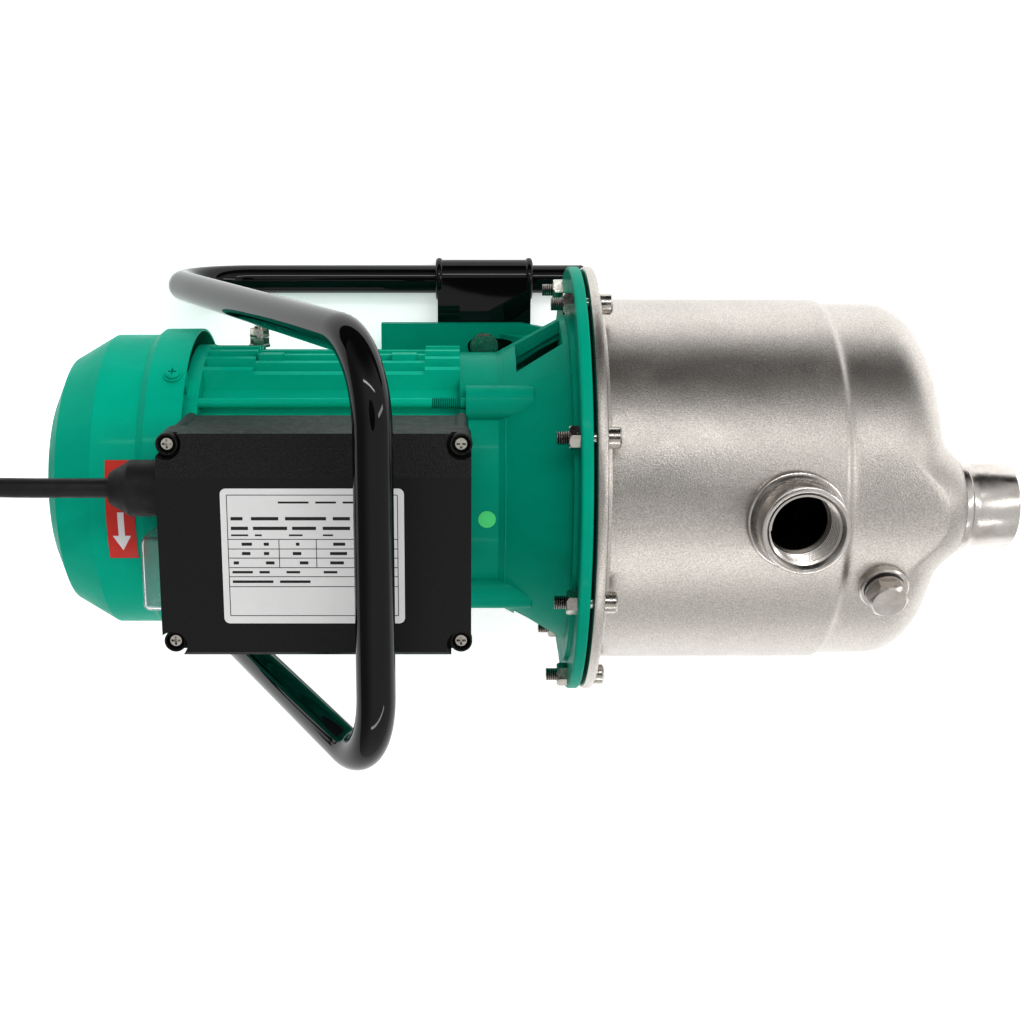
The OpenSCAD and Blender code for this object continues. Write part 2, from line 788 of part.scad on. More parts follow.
module rotor_shaft() {
    color(STEEL) turned([
        [0, shaft_rear_x], [fan_seat_r, shaft_rear_x], [fan_seat_r, rear_bearing_x],
        [rear_seat_r, rear_bearing_x], [rear_seat_r, rear_bearing_x + rear_bearing_w],
        [rotor_seat_r, rear_bearing_x + rear_bearing_w], [rotor_seat_r, front_bearing_x],
        [front_seat_r, front_bearing_x], [front_seat_r, front_bearing_x + front_bearing_w],
        [pump_seat_r, front_bearing_x + front_bearing_w],
        [pump_seat_r, impeller_x + impeller_w - 2], [5, impeller_x + impeller_w - 2],
        [5, shaft_front_x - 1], [4, shaft_front_x], [0, shaft_front_x],
    ]);
}

// Laminated stack between two cast end rings
module rotor_core() {
    cap = 8;
    color("silver") turned([
        [rotor_seat_r + FIT, core_x], [22, core_x], [22, core_x - cap], [rotor_r - 2, core_x - cap],
        [rotor_r - 2, core_x], [rotor_r, core_x], [rotor_r, core_x + core_l],
        [rotor_r - 2, core_x + core_l], [rotor_r - 2, core_x + core_l + cap],
        [22, core_x + core_l + cap], [22, core_x + core_l], [rotor_seat_r + FIT, core_x + core_l],
    ]);
}

// Each bearing: [place, width, bore radius, outer radius, ball radius, balls]
BEARINGS = [
    [rear_bearing_x, rear_bearing_w, rear_seat_r, 17.5, 3, 8],
    [front_bearing_x, front_bearing_w, front_seat_r, 20, 3.4, 8],
];
function pitch_r(b) = (b[2] + b[3]) / 2;

module bearing_ring(b, r_in, r_out) {
    difference() {
        ring(b[0], b[1], r_out, r_in);
        on_shaft(b[0] + b[1] / 2) rotate_extrude() translate([pitch_r(b), 0])
            circle(b[4] + 0.3, $fn = 32);
    }
}

module bearing_outer_rings() {
    color(STEEL) for (b = BEARINGS) bearing_ring(b, pitch_r(b) + 1.6, b[3]);
}

module bearing_inner_rings() {
    color(STEEL) for (b = BEARINGS) bearing_ring(b, b[2] + FIT, pitch_r(b) - 1.6);
}

module bearing_balls() {
    color("silver") for (b = BEARINGS)
        around_shaft(b[5]) translate([b[0] + b[1] / 2, 0, pitch_r(b)])
            sphere(r = b[4], $fn = 24);
}

screw_lean = 51.5;
cover_screw_x = -166.5;
module cover_screw_places() {
    for (a = [screw_lean, 180 - screw_lean, 180 + screw_lean, 360 - screw_lean])
        translate([cover_screw_x, 0, shaft_height]) rotate([a, 0, 0]) children();
}

module rear_endshield() {
    disc_t = 7;
    disc_x = frame_rear_x - disc_t;
    color(GREEN) difference() {
        union() {
            ring(disc_x, disc_t, 68.5, 17);
            ring(frame_rear_x - 1, 5, core_r - 0.1, core_r - 4);
            ring(rear_bearing_x - 3, rear_bearing_w + 5, 23, 17.5 + FIT);
            ring(rear_bearing_x - 5, 5 - FIT, 23, 9.5);
            cover_screw_places() translate([-4.5, -4.5, 60]) cube([10.5, 9, 15]);
        }
        rod(rear_bearing_x, rear_bearing_w + 20, 17.5 + FIT);
        tie_places() translate([-180, 0, 0]) rotate([0, 90, 0]) cylinder(h = 40, r = 2.6);
        tie_places() translate([-180, 0, 0]) rotate([0, 90, 0]) cylinder(h = 18, r = 4.9);
        cover_screw_places() translate([0, 0, 62]) cylinder(h = 20, r = 2 + THREAD_GAP);
    }
}

module cooling_fan() {
    hub_r = 14;
    disc_x = -184;
    color("black") union() {
        ring(-201, 22, hub_r, fan_seat_r + FIT);
        ring(disc_x, 2.5, 60, hub_r - 1);
        around_shaft(fan_blades) translate([disc_x - 18, -1.2, hub_r - 2]) cube([19, 2.4, 52]);
    }
}

// Drawn sheet cover: flared rim, straight side, a cone and a slotted rear wall
module fan_cover() {
    t = 1.2;
    shoulder_x = -203;
    cone_x = -222.5;
    cone_r = 62;
    rear_r = 47;
    color(GREEN) difference() {
        turned([
            [0, cover_rear_x], [rear_r, cover_rear_x], [cone_r, cone_x], [cover_r, shoulder_x],
            [cover_r, -182], [cover_rim_r, -178], [cover_rim_r, cover_rim_x],
            [cover_rim_r - t, cover_rim_x], [cover_rim_r - t, -177.6], [cover_r - t, -181.6],
            [cover_r - t, shoulder_x + 0.4], [cone_r - t, cone_x + 0.6],
            [rear_r - 0.5, cover_rear_x + t], [0, cover_rear_x + t],
        ]);
        // Air slots: rings of openings between straight bars
        for (r = [14, 23, 32, 41])
            difference() {
                ring(cover_rear_x - 1, 4, r + 5, r);
                around_shaft(6, 30) translate([cover_rear_x - 2, -2, 0]) cube([8, 4, 60]);
            }
        cover_screw_places() translate([0, 0, 60]) cylinder(h = 30, r = 2.2);
    }
}

// Pan head with a cross recess, its seat at z = 0
module cross_screw(r, head_r, head_h, shank) {
    difference() {
        union() {
            translate([0, 0, -shank]) cylinder(h = shank, r = r);
            cylinder(h = head_h * 0.6, r = head_r);
            translate([0, 0, head_h * 0.6]) cylinder(h = head_h * 0.4, r1 = head_r, r2 = head_r * 0.7);
        }
        for (a = [0, 90]) rotate([0, 0, a])
            translate([-head_r * 0.55, -head_r * 0.13, head_h * 0.35])
                cube([head_r * 1.1, head_r * 0.26, head_h]);
    }
}

module fan_cover_screws() {
    color(GREEN) cover_screw_places() union() {
        translate([0, 0, cover_rim_r + 1]) cross_screw(2, 3.4, 2.2, 10);
        difference() {
            translate([0, 0, cover_rim_r]) cylinder(h = 1, r = 4.4);
            translate([0, 0, cover_rim_r - 1]) cylinder(h = 3, r = 2 - OVERLAP);
        }
    }
}

module tie_bolts() {
    head_x = frame_rear_x - 7;
    color(GREEN) tie_places() union() {
        translate([head_x, 0, 0]) rotate([0, 90, 0]) cylinder(h = -9 - head_x, r = 2.5);
        translate([head_x - 3.5, 0, 0]) rotate([0, 90, 0]) hexagon(8, 3.5);
    }
}

// Earthing stud on the side of the frame, with two nuts and a washer
module on_earth_boss() {
    translate(EARTH_PLACE + [0, 0, shaft_height]) rotate([-90, 0, 0]) children();
}
module earth_stud() {
    color(STEEL) on_earth_boss() union() {
        translate([0, 0, 53.5]) cylinder(h = 22.5, r = 2.8);
        translate([0, 0, 65.5]) cylinder(h = 1.2, r = 5.5);
        translate([0, 0, 66.7]) hexagon(8.5, 3.4);
        translate([0, 0, 70.7]) cylinder(h = 1, r = 5.2);
        translate([0, 0, 71.7]) hexagon(8.5, 3.2);
    }
}

// ---- terminal box ----

screw_dx = 62;
screw_dy = 43.5;
module box_corners() {
    for (sx = [-1, 1], sy = [-1, 1])
        translate([box_x + sx * screw_dx, sy * screw_dy, 0]) children();
}

module terminal_box_base() {
    length = 127.4;
    width = 91;
    height = box_split_z - box_gasket_t - box_floor_z;
    post_r = 7;
    color(BLACK) difference() {
        union() {
            difference() {
                translate([box_x, 0, box_floor_z]) round_plate(length, width, height, 4);
                translate([box_x, 0, box_floor_z + 3])
                    round_plate(length - 2 * box_wall, width - 2 * box_wall, height, 2);
            }
            intersection() {
                box_corners() translate([0, 0, box_floor_z]) cylinder(h = height, r = post_r);
                translate([box_x, 0, box_floor_z]) round_plate(length, width, height, 4);
            }
            translate([box_x, 0, box_split_z - box_gasket_t - 2]) difference() {
                round_plate(box_l - 1, box_w - 1, 2, 3.5);
                translate([0, 0, -1])
                    round_plate(length - 2 * box_wall, width - 2 * box_wall, 5, 2);
            }
        }
        box_corners() translate([0, 0, box_floor_z + 10]) cylinder(h = 60, r = 2 + THREAD_GAP);
        translate([-75, 0, box_floor_z - 1]) cylinder(h = 6, r = 10);
        translate([gland_wall_x - 1, gland_y, shaft_height + gland_rise]) rotate([0, 90, 0])
            cylinder(h = 6, r = 10 + THREAD_GAP);
        translate([gland_wall_x - 1, switch_y - 14.1, shaft_height + switch_rise - 10.6])
            cube([6, 28.2, 21.2]);
    }
}

module terminal_box_gasket() {
    color("black") translate([box_x, 0, box_split_z - box_gasket_t]) difference() {
        round_plate(box_l - 2, box_w - 2, box_gasket_t, 3.2);
        translate([0, 0, -1]) round_plate(box_l - 12, box_w - 10, 4, 2);
        translate([-box_x, 0, 0]) box_corners() translate([0, 0, -1]) cylinder(h = 4, r = 2.3);
    }
}

// Lid with one long slope, and a pocket at each corner for its screw
module terminal_box_cover() {
    height = box_top_z - box_split_z;
    slope_y = 30.5;
    slope_drop = 6;
    pocket_floor = 15;
    module prism(inset, lift) {
        half = box_w / 2 - inset;
        translate([box_x - box_l / 2 + inset, 0, box_split_z + lift]) rotate([90, 0, 90])
            linear_extrude(box_l - 2 * inset)
                polygon([[-half, -1], [half, -1], [half, height - slope_drop - inset],
                         [slope_y, height - inset], [1.5 - half, height - inset],
                         [-half, height - inset - 1.5]]);
    }
    color(BLACK) difference() {
        intersection() {
            prism(0, 0);
            translate([box_x, 0, box_split_z]) round_plate(box_l, box_w, height + 2, 3.5);
        }
        difference() {
            prism(box_wall, 0);
            box_corners() translate([0, 0, box_split_z - 5]) cylinder(h = 60, r = 9);
        }
        // Pockets
        box_corners() translate([0, 0, box_split_z + pocket_floor]) cylinder(h = 20, r = 6.2);
        for (sx = [-1, 1], sy = [-1, 1])
            translate([box_x + sx * (screw_dx + 5) - 5, sy * (screw_dy + 5) - 5,
                       box_split_z + pocket_floor]) cube([10, 10, 20]);
        box_corners() translate([0, 0, box_split_z - 2]) cylinder(h = 60, r = 2.3);
        // Room under the pockets for the posts of the base
        box_corners() translate([0, 0, box_split_z - 5]) cylinder(h = 5 + OVERLAP, r = 10);
    }
}

module cover_screws() {
    color(STEEL) box_corners() translate([0, 0, box_split_z + 15]) cross_screw(2, 3.6, 3.2, 30);
}

module rating_plate() {
    color("whitesmoke") translate([-92.5, -3.8, box_top_z]) round_plate(77.4, 59.2, 0.4, 2.5);
}

module capacitor() {
    color("gainsboro") translate([box_x - 30, 20, box_floor_z + 22]) rotate([0, 90, 0]) union() {
        cylinder(h = 70, r = 18);
        translate([0, 0, 70]) cylinder(h = 3, r = 16);
        for (s = [-1, 1]) translate([-3, s * 6 - 0.4, 73]) cube([6, 0.8, 9]);
    }
    color(BLACK) translate([box_x - 10, 20, box_floor_z + 22]) rotate([0, 90, 0]) difference() {
        union() {
            cylinder(h = 8, r = 18.9);
            translate([0, -6, 0]) cube([18.9, 12, 8]);
        }
        translate([0, 0, -1]) cylinder(h = 10, r = 18 + FIT);
    }
}

module terminal_block() {
    ways = 5;
    color("ivory") difference() {
        translate([-82, -32, box_floor_z + 3]) cube([ways * 9, 18, 13]);
        for (i = [0:ways - 1], y = [-27.5, -18.5])
            translate([-77.5 + i * 9, y, box_floor_z + 8]) cylinder(h = 20, r = 2.4);
    }
}

module cable_gland() {
    thread_r = 10;
    color(BLACK) translate([0, gland_y, shaft_height + gland_rise]) rotate([0, 90, 0])
        rotate([0, 0, 30]) difference() {
            union() {
                translate([0, 0, gland_wall_x - 5.5]) hexagon(22, 5.5);
                translate([0, 0, gland_wall_x - 15]) cylinder(h = 9.5 + OVERLAP, r = thread_r);
                translate([0, 0, gland_wall_x]) cylinder(h = 9, r = thread_r);
                translate([0, 0, gland_wall_x + box_wall + 0.1]) hexagon(22, 4);
            }
            translate([0, 0, gland_wall_x - 20]) cylinder(h = 40, r = 6);
        }
}

module gland_cap() {
    color("black") translate([0, gland_y, shaft_height + gland_rise]) rotate([0, 90, 0])
        rotate_extrude() polygon([
            [0, gland_tip_x], [7.5, gland_tip_x], [9.6, gland_tip_x + 4],
            [12.7, gland_tip_x + 9], [12.7, gland_wall_x - 6], [10.1, gland_wall_x - 6],
            [10.1, gland_tip_x + 14], [0, gland_tip_x + 14],
        ]);
}

module switch_body() {
    face_x = gland_wall_x;
    color(BLACK) translate([0, switch_y, shaft_height + switch_rise]) difference() {
        union() {
            translate([face_x - 1.8, -15.5, -12]) cube([1.8, 31, 24]);
            translate([face_x, -14, -10.5]) cube([20, 28, 21]);
            for (s = [-1, 1]) translate([face_x + 20, s * 7 - 0.4, -3]) cube([8, 0.8, 6]);
        }
        translate([face_x - 2, -12.6, -7.1]) cube([12, 25.2, 14.2]);
        translate([face_x + rocker_pin_in, 0, -8.5]) cylinder(h = 17, r = 1.65);
    }
}

// Rocker on a pin that stands upright, tilted to its off side at rest
module rocker_button() {
    pivot_x = gland_wall_x + rocker_pin_in;
    color("crimson") translate([pivot_x, switch_y, shaft_height + switch_rise])
        rotate([0, 0, rocker_tilt]) union() {
            translate([0, 0, -6.8]) linear_extrude(13.6)
                polygon([[-6.4, -11.2], [-5, -6], [-4.4, 0], [-5, 6], [-6.4, 11.2],
                         [-2, 11], [2, 4], [2, -4], [-2, -11]]);
            translate([0, 0, -8.2]) cylinder(h = 16.4, r = 1.6);
        }
}

module switch_splash_cover() {
    face_x = gland_wall_x;
    color("lightblue", 0.4) translate([0, switch_y, shaft_height + switch_rise])
        difference() {
            union() {
                translate([face_x, 0, 0]) rotate([0, -90, 0])
                    linear_extrude(2) square_round(30, 37, 3);
                translate([face_x, 0, 0]) rotate([0, -90, 0])
                    linear_extrude(9) square_round(27, 34, 4);
            }
            translate([face_x + 1, 0, 0]) rotate([0, -90, 0])
                linear_extrude(9) square_round(25.4, 32.4, 1.2);
        }
}

// ---- carrying frame ----

frame_mid = [0, frame_shift_y, 0];
FRAME_CORNERS = [
    [runner_front_x, frame_half_w, runner_z],
    [runner_rear_x, frame_half_w, runner_z],
    [grip_x, frame_half_w, grip_z],
    [grip_x, -frame_half_w, grip_z],
    [runner_rear_x, -frame_half_w, runner_z],
    [runner_front_x, -frame_half_w, runner_z],
];

function corner_angle(d1, d2) = acos(d1 * d2);
function corner_cut(i) = (i == 0 || i == len(FRAME_CORNERS) - 1) ? BEND_LAP : let (
    d1 = unit(FRAME_CORNERS[i] - FRAME_CORNERS[i - 1]),
    d2 = unit(FRAME_CORNERS[i + 1] - FRAME_CORNERS[i])
) bend_r * tan(corner_angle(d1, d2) / 2);

// Puts local X, Y and Z along the given directions, at point p
module placed(x_dir, y_dir, z_dir, p) {
    multmatrix([
        [x_dir[0], y_dir[0], z_dir[0], p[0]],
        [x_dir[1], y_dir[1], z_dir[1], p[1]],
        [x_dir[2], y_dir[2], z_dir[2], p[2]],
        [0, 0, 0, 1],
    ]) children();
}

module tube_section(inset = 0) {
    difference() {
        circle(tube_r - inset);
        circle(tube_r - tube_wall + inset);
    }
}

// One straight stretch of tube from a to b, let a little way into the bends at its ends
module tube_straight(a, b) {
    d = unit(b - a);
    side = unit(cross(d, abs(d[2]) < 0.5 ? [0, 0, 1] : [1, 0, 0]));
    placed(side, cross(d, side), d, a - BEND_LAP * d) linear_extrude(norm(b - a) + 2 * BEND_LAP)
        tube_section(TUBE_STEP);
}

// The bend at corner p, from direction d1 to d2
module tube_bend(p, d1, d2) {
    turn = corner_angle(d1, d2);
    n = (d2 - (d1 * d2) * d1) / sin(turn);
    mid = p - bend_r * tan(turn / 2) * d1 + bend_r * n;
    placed(-n, d1, cross(d1, n), mid) rotate_extrude(angle = turn)
        translate([bend_r, 0]) tube_section();
}

module carry_frame() {
    last = len(FRAME_CORNERS) - 1;
    color("black") translate(frame_mid) union() {
        for (i = [0:last - 1]) {
            a = FRAME_CORNERS[i];
            b = FRAME_CORNERS[i + 1];
            d = unit(b - a);
            tube_straight(a + corner_cut(i) * d, b - corner_cut(i + 1) * d);
        }
        for (i = [1:last - 1])
            tube_bend(FRAME_CORNERS[i], unit(FRAME_CORNERS[i] - FRAME_CORNERS[i - 1]),
                      unit(FRAME_CORNERS[i + 1] - FRAME_CORNERS[i]));
    }
}

// Pressed saddles: over the runner on the outside, flat under the foot plate inside
module frame_brackets() {
    t = 3;
    x0 = -43;
    length = 53;
    gap = 0.1;
    saddle_r = tube_r + gap;
    color("black") for (s = [-1, 1]) {
        runner_y = s * frame_half_w + frame_shift_y;
        inner_y = s * 42;
        difference() {
            union() {
                translate([x0, runner_y, runner_z]) rotate([0, 90, 0])
                    cylinder(h = length, r = saddle_r + t);
                translate([x0, min(runner_y, inner_y), foot_under_z - t])
                    cube([length, abs(runner_y - inner_y), t]);
            }
            translate([x0 - 1, runner_y, runner_z]) rotate([0, 90, 0])
                cylinder(h = length + 2, r = saddle_r);
            translate([x0 - 1, runner_y - 30, -20]) cube([length + 2, 60, runner_z + 20]);
            translate([x0 - 1, runner_y - 30, foot_under_z]) cube([length + 2, 60, 30]);
            translate([foot_bolt_x, s * foot_bolt_y, 0]) cylinder(h = 60, r = 4.4);
        }
    }
}

// Plastic plugs with a domed face in the front ends of the runners
module frame_end_caps() {
    color("black") for (s = [-1, 1])
        translate([runner_front_x, s * frame_half_w + frame_shift_y, runner_z])
            rotate([0, 90, 0]) rotate_extrude() polygon(concat(
                [[0, -12], [tube_r - tube_wall - 0.05, -12], [tube_r - tube_wall - 0.05, 0.02],
                 [tube_r, 0.02]],
                arc(tube_r - 3, 0.2, 3, 90, 0, 6),
                [[0, 3.2]]
            ));
}

module foot_bolts() {
    color(STEEL) for (s = [-1, 1])
        translate([foot_bolt_x, s * foot_bolt_y, foot_top_z]) union() {
            cylinder(h = 1.6, r = 8);
            translate([0, 0, 1.6]) hexagon(13, 5.3);
            translate([0, 0, -18]) cylinder(h = 18, r = 4);
        }
}

module foot_nuts() {
    color(STEEL) for (s = [-1, 1])
        translate([foot_bolt_x, s * foot_bolt_y, foot_under_z - 3 - 6.5]) difference() {
            hexagon(13, 6.5);
            translate([0, 0, -1]) cylinder(h = 9, r = 4 + THREAD_GAP);
        }
}

// ---- labels ----

module rotation_label() {
    color("red") intersection() {
        ring(-195.8, 13.5, cover_r + 0.35, cover_r + 0.01);
        translate([-200, -23.6, shaft_height]) cube([20, 47.2, 100]);
    }
}

module test_dot() {
    color("lightgreen") intersection() {
        ring(-25, 20, adapter_r + 0.3, adapter_r);
        translate([-17.5, -6.2, shaft_height]) cylinder(h = 80, r = 4.2);
    }
}

// ---- cord and plug ----

// Rings of the swept tube: each lies square to the route, and keeps upright
function route_dir(p, i) = unit(p[min(i + 1, len(p) - 1)] - p[max(i - 1, 0)]);
function ring_side(d) = abs(d[1]) > 0.8 ? unit(cross([0, 0, 1], d)) : unit(cross(d, [0, 1, 0]));
function swept_points(p, r, n) = [
    for (i = [0:len(p) - 1]) let (d = route_dir(p, i), u = ring_side(d), v = cross(d, u))
        for (k = [0:n - 1]) let (a = 360 * k / n) p[i] + r * (cos(a) * u + sin(a) * v)
];
function swept_faces(count, n) = concat(
    [[for (k = [0:n - 1]) k]],
    [for (i = [0:count - 2], k = [0:n - 1]) let (j = (k + 1) % n)
        [i * n + k, (i + 1) * n + k, (i + 1) * n + j, i * n + j]],
    [[for (k = [n - 1:-1:0]) (count - 1) * n + k]]
);
module swept_tube(p, r, n = 10) {
    polyhedron(swept_points(p, r, n), swept_faces(len(p), n), convexity = 6);
}

module power_cord() { color("black") swept_tube(CORD_POINTS, cord_r); }

module cord_coil() {
    color("black") translate([coil_x, coil_y, 0]) rotate_extrude()
        polygon([[coil_in_r, 0], [coil_out_r, 0], [coil_out_r, coil_h / 2],
                 [coil_out_r - 9, coil_h], [coil_in_r, coil_h]]);
}

module plug_lead() { color("black") swept_tube(LEAD_POINTS, cord_r); }

// Moulded mains plug lying on the floor, its pins pointing away from the cord
module mains_plug() {
    color("black") translate([plug_x, plug_y, plug_z]) rotate([90, 0, 0]) difference() {
        union() {
            rotate_extrude() polygon([
                [0, 0], [6.5, 0], [7.5, 14], [13, 24], [17.5, 30], [19, 34], [19, 46], [0, 46],
            ]);
        }
        for (s = [-1, 1]) translate([s * 19.5, 0, 34]) cylinder(h = 13, r = 2.4);
    }
}

module plug_pins() {
    pin_gap = 19;
    color("silver") translate([plug_x, plug_y - 46, plug_z]) rotate([90, 0, 0])
        for (s = [-1, 1]) translate([s * pin_gap / 2, 0, 0]) union() {
            cylinder(h = 17.6, r = 2.4);
            translate([0, 0, 17.6]) cylinder(h = 1.4, r1 = 2.4, r2 = 1.4);
        }
}

pump_housing();
suction_socket();
discharge_socket();
filler_boss();
filler_plug();
filler_seal();
drain_boss();
drain_plug();
drain_seal();
housing_gasket();
seal_plate();
shaft_seal_seat();
shaft_seal_ring();
impeller();
impeller_nut();
diffuser();
ejector_body();
jet_nozzle();
lantern();
flange_screws();
flange_nuts();
stator_frame();
stator_core();
stator_windings();
rotor_shaft();
rotor_core();
bearing_outer_rings();
bearing_inner_rings();
bearing_balls();
rear_endshield();
cooling_fan();
fan_cover();
fan_cover_screws();
tie_bolts();
earth_stud();
terminal_box_base();
terminal_box_gasket();
terminal_box_cover();
cover_screws();
rating_plate();
capacitor();
terminal_block();
cable_gland();
gland_cap();
switch_body();
rocker_button();
switch_splash_cover();
carry_frame();
frame_brackets();
frame_end_caps();
foot_bolts();
foot_nuts();
rotation_label();
test_dot();
power_cord();
cord_coil();
plug_lead();
mains_plug();
plug_pins();
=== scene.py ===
import json
import math

import bpy
from mathutils import Matrix, Vector


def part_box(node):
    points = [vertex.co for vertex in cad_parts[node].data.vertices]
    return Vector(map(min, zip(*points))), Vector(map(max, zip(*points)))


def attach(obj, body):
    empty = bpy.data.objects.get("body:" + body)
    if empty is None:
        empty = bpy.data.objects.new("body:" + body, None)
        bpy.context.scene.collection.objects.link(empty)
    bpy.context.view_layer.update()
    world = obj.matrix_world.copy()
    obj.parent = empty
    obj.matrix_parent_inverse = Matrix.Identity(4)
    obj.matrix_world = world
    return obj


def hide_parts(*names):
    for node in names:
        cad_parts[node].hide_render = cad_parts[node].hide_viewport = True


bl_info = {
    "name": "Shallow well jet pump",
    "version": (1, 0, 0),
    "blender": (4, 5, 0),
    "location": "View3D > Sidebar > Jet pump",
    "description": "Builds the looks of a portable jet pump round its fixed frame",
    "category": "Object",
}

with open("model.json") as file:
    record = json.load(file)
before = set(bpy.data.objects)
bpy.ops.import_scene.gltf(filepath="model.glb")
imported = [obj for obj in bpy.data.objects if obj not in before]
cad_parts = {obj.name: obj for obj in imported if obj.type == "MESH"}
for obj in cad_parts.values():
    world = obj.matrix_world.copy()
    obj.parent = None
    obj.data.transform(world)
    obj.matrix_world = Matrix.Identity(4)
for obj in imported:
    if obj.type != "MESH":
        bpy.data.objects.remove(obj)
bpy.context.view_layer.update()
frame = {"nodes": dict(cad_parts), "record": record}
UNIT = "pump_unit"

# Main places of the pump, in metres; the shaft runs along X at this height
SHAFT_Z = 0.1225
HOUSING_R = 0.0913
HOUSING_WALL = 0.0018
FRONT_R = 0.0893             # of the housing, in front of its step
FLANGE_R = 0.1076
FLANGE_T = 0.0053
STEP_END_X = 0.1520          # where the step in the housing ends
NOSE_LIMIT_X = 0.2056        # the nose swells no further than this
DISCHARGE_X = 0.123
DISCHARGE_RISE = 0.1123      # of the socket's mouth over the shaft
SUCTION_X = 0.2055           # of the face that the socket is welded to
SUCTION_RISE = 0.060
DRAIN_X = 0.2035
DRAIN_RISE = -0.062
FILLER_X = 0.167
FILLER_LEAN = math.radians(22)
RUNNERS_Y = (0.0925, -0.0865)
RUNNER_Z = 0.008
SWITCH_Y = -0.021
SWITCH_RISE = 0.096
LID_SCREWS_X = (-0.1538, -0.0298)
LID_SCREWS_Y = (0.0435, -0.0435)
POCKET_RISE = 0.130
BOX_FLOOR_RISE = 0.074

WELD = 1e-6                  # points closer than this become one

# The camera looks down on the pump, leaning a little towards -Y
CAMERA_PLACE = (-0.0303, 0.1611, 0.8685)
CAMERA_LEAN = math.radians(-13.5)
CAMERA_LENS = 52.03
CAMERA_SHIFT_X = 0.0508

# Studio: place, size, power and aim of each light, and how the sky fades along an axis
LIGHTS = [
    ("overhead_softbox", (0.10, 0.95, 1.30), (1.3, 0.07), 3.2, (0.05, 0, 0.1)),
    ("front_softbox", (0.25, -0.95, 1.20), (1.6, 0.09), 3.0, (0, 0, 0.1)),
    ("right_softbox", (1.15, 0.35, 1.05), (0.12, 0.9), 2.0, (0, 0, 0.12)),
    ("diffuse_fill", (0.35, 0.75, 1.25), (1.5, 1.5), 9.0, (0, 0, 0.15)),
]
SKY_LEVEL = 0.80
SKY_FADES = [("Y", 0.62, 0.98, 0.04), ("X", -0.10, -0.95, 0.30)]
CONTRAST_GAMMA = 0.80


def mm(*values):
    """Millimetres to metres."""
    return Vector([v / 1000 for v in values])


# ---- working on meshes ----

def clear_selection():
    """Leaves edit mode and selects nothing."""
    if bpy.context.object and bpy.context.object.mode != "OBJECT":
        bpy.ops.object.mode_set(mode="OBJECT")
    bpy.ops.object.select_all(action="DESELECT")


def start_ring(name, centre, radius, axis, segments=48):
    """A ring of edges square to an axis, left in edit mode with all of it selected."""
    clear_selection()
    turn = Vector(axis).to_track_quat("Z", "Y").to_euler()
    bpy.ops.mesh.primitive_circle_add(
        vertices=segments, radius=radius, location=centre, rotation=turn)
    ring = named_piece(name)
    bpy.ops.object.mode_set(mode="EDIT")
    return ring


def named_piece(name):
    """Names the active object and its mesh."""
    bpy.context.object.name = name
    bpy.context.object.data.name = name
    return bpy.context.object


def extrude_by(step):
    """Extrudes what is selected by a step."""
    bpy.ops.mesh.extrude_region_move(TRANSFORM_OT_translate={"value": step})


def turn_profile(centre, axis, profile):
    """Extrudes the selected ring along a turned profile of (radius, height) points."""
    axis = Vector(axis).normalized()
    r, h = profile[0]
    for r_next, h_next in profile[1:]:
        extrude_by(axis * (h_next - h))
        middle = Vector(centre) + axis * h_next
        if abs(r_next - r) > 1e-9:
            bpy.ops.transform.resize(value=(r_next / r,) * 3, center_override=middle)
        r, h = r_next, h_next


def turned(name, centre, axis, profile, segments=64, close=False):
    """A turned piece from a profile of (radius, height) points, outside first."""
    centre, axis = Vector(centre), Vector(axis).normalized()
    piece = start_ring(name, centre + axis * profile[0][1], profile[0][0], axis, segments)
    turn_profile(centre, axis, profile)
    if close:
        bpy.ops.mesh.select_all(action="SELECT")
        bpy.ops.mesh.remove_doubles(threshold=WELD)
    outwards()
    bpy.ops.object.mode_set(mode="OBJECT")
    return piece


def outwards():
    """Makes every face of the edited mesh point outwards."""
    bpy.ops.mesh.select_all(action="SELECT")
    bpy.ops.mesh.normals_make_consistent(inside=False)


def finish_mesh(piece, angle=35):
    """Applies the place to the mesh and shades it smooth except at sharp edges."""
    clear_selection()
    piece.select_set(True)
    bpy.context.view_layer.objects.active = piece
    bpy.ops.object.transform_apply(location=True, rotation=True, scale=True)
    bpy.ops.object.shade_smooth_by_angle(angle=math.radians(angle))


def modify(piece, kind, **settings):
    """Adds a modifier and applies it at once."""
    clear_selection()
    bpy.context.view_layer.objects.active = piece
    piece.select_set(True)
    modifier = piece.modifiers.new(kind.title(), kind)
    for key, value in settings.items():
        setattr(modifier, key, value)
    bpy.ops.object.modifier_apply(modifier=modifier.name)


def join(pieces, name):
    """Makes one piece of several and names it."""
    clear_selection()
    for piece in pieces:
        piece.select_set(True)
    bpy.context.view_layer.objects.active = pieces[0]
    bpy.ops.object.join()
    pieces[0].name = name
    pieces[0].data.name = name
    return pieces[0]


def place_on(piece, body, finish, replaces=()):
    """Gives a finished piece its material and puts it on its body."""
    piece.data.materials.clear()
    piece.data.materials.append(bpy.data.materials[finish])
    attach(piece, body)
    if replaces:
        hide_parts(*replaces)
    return piece


# ---- finishes ----

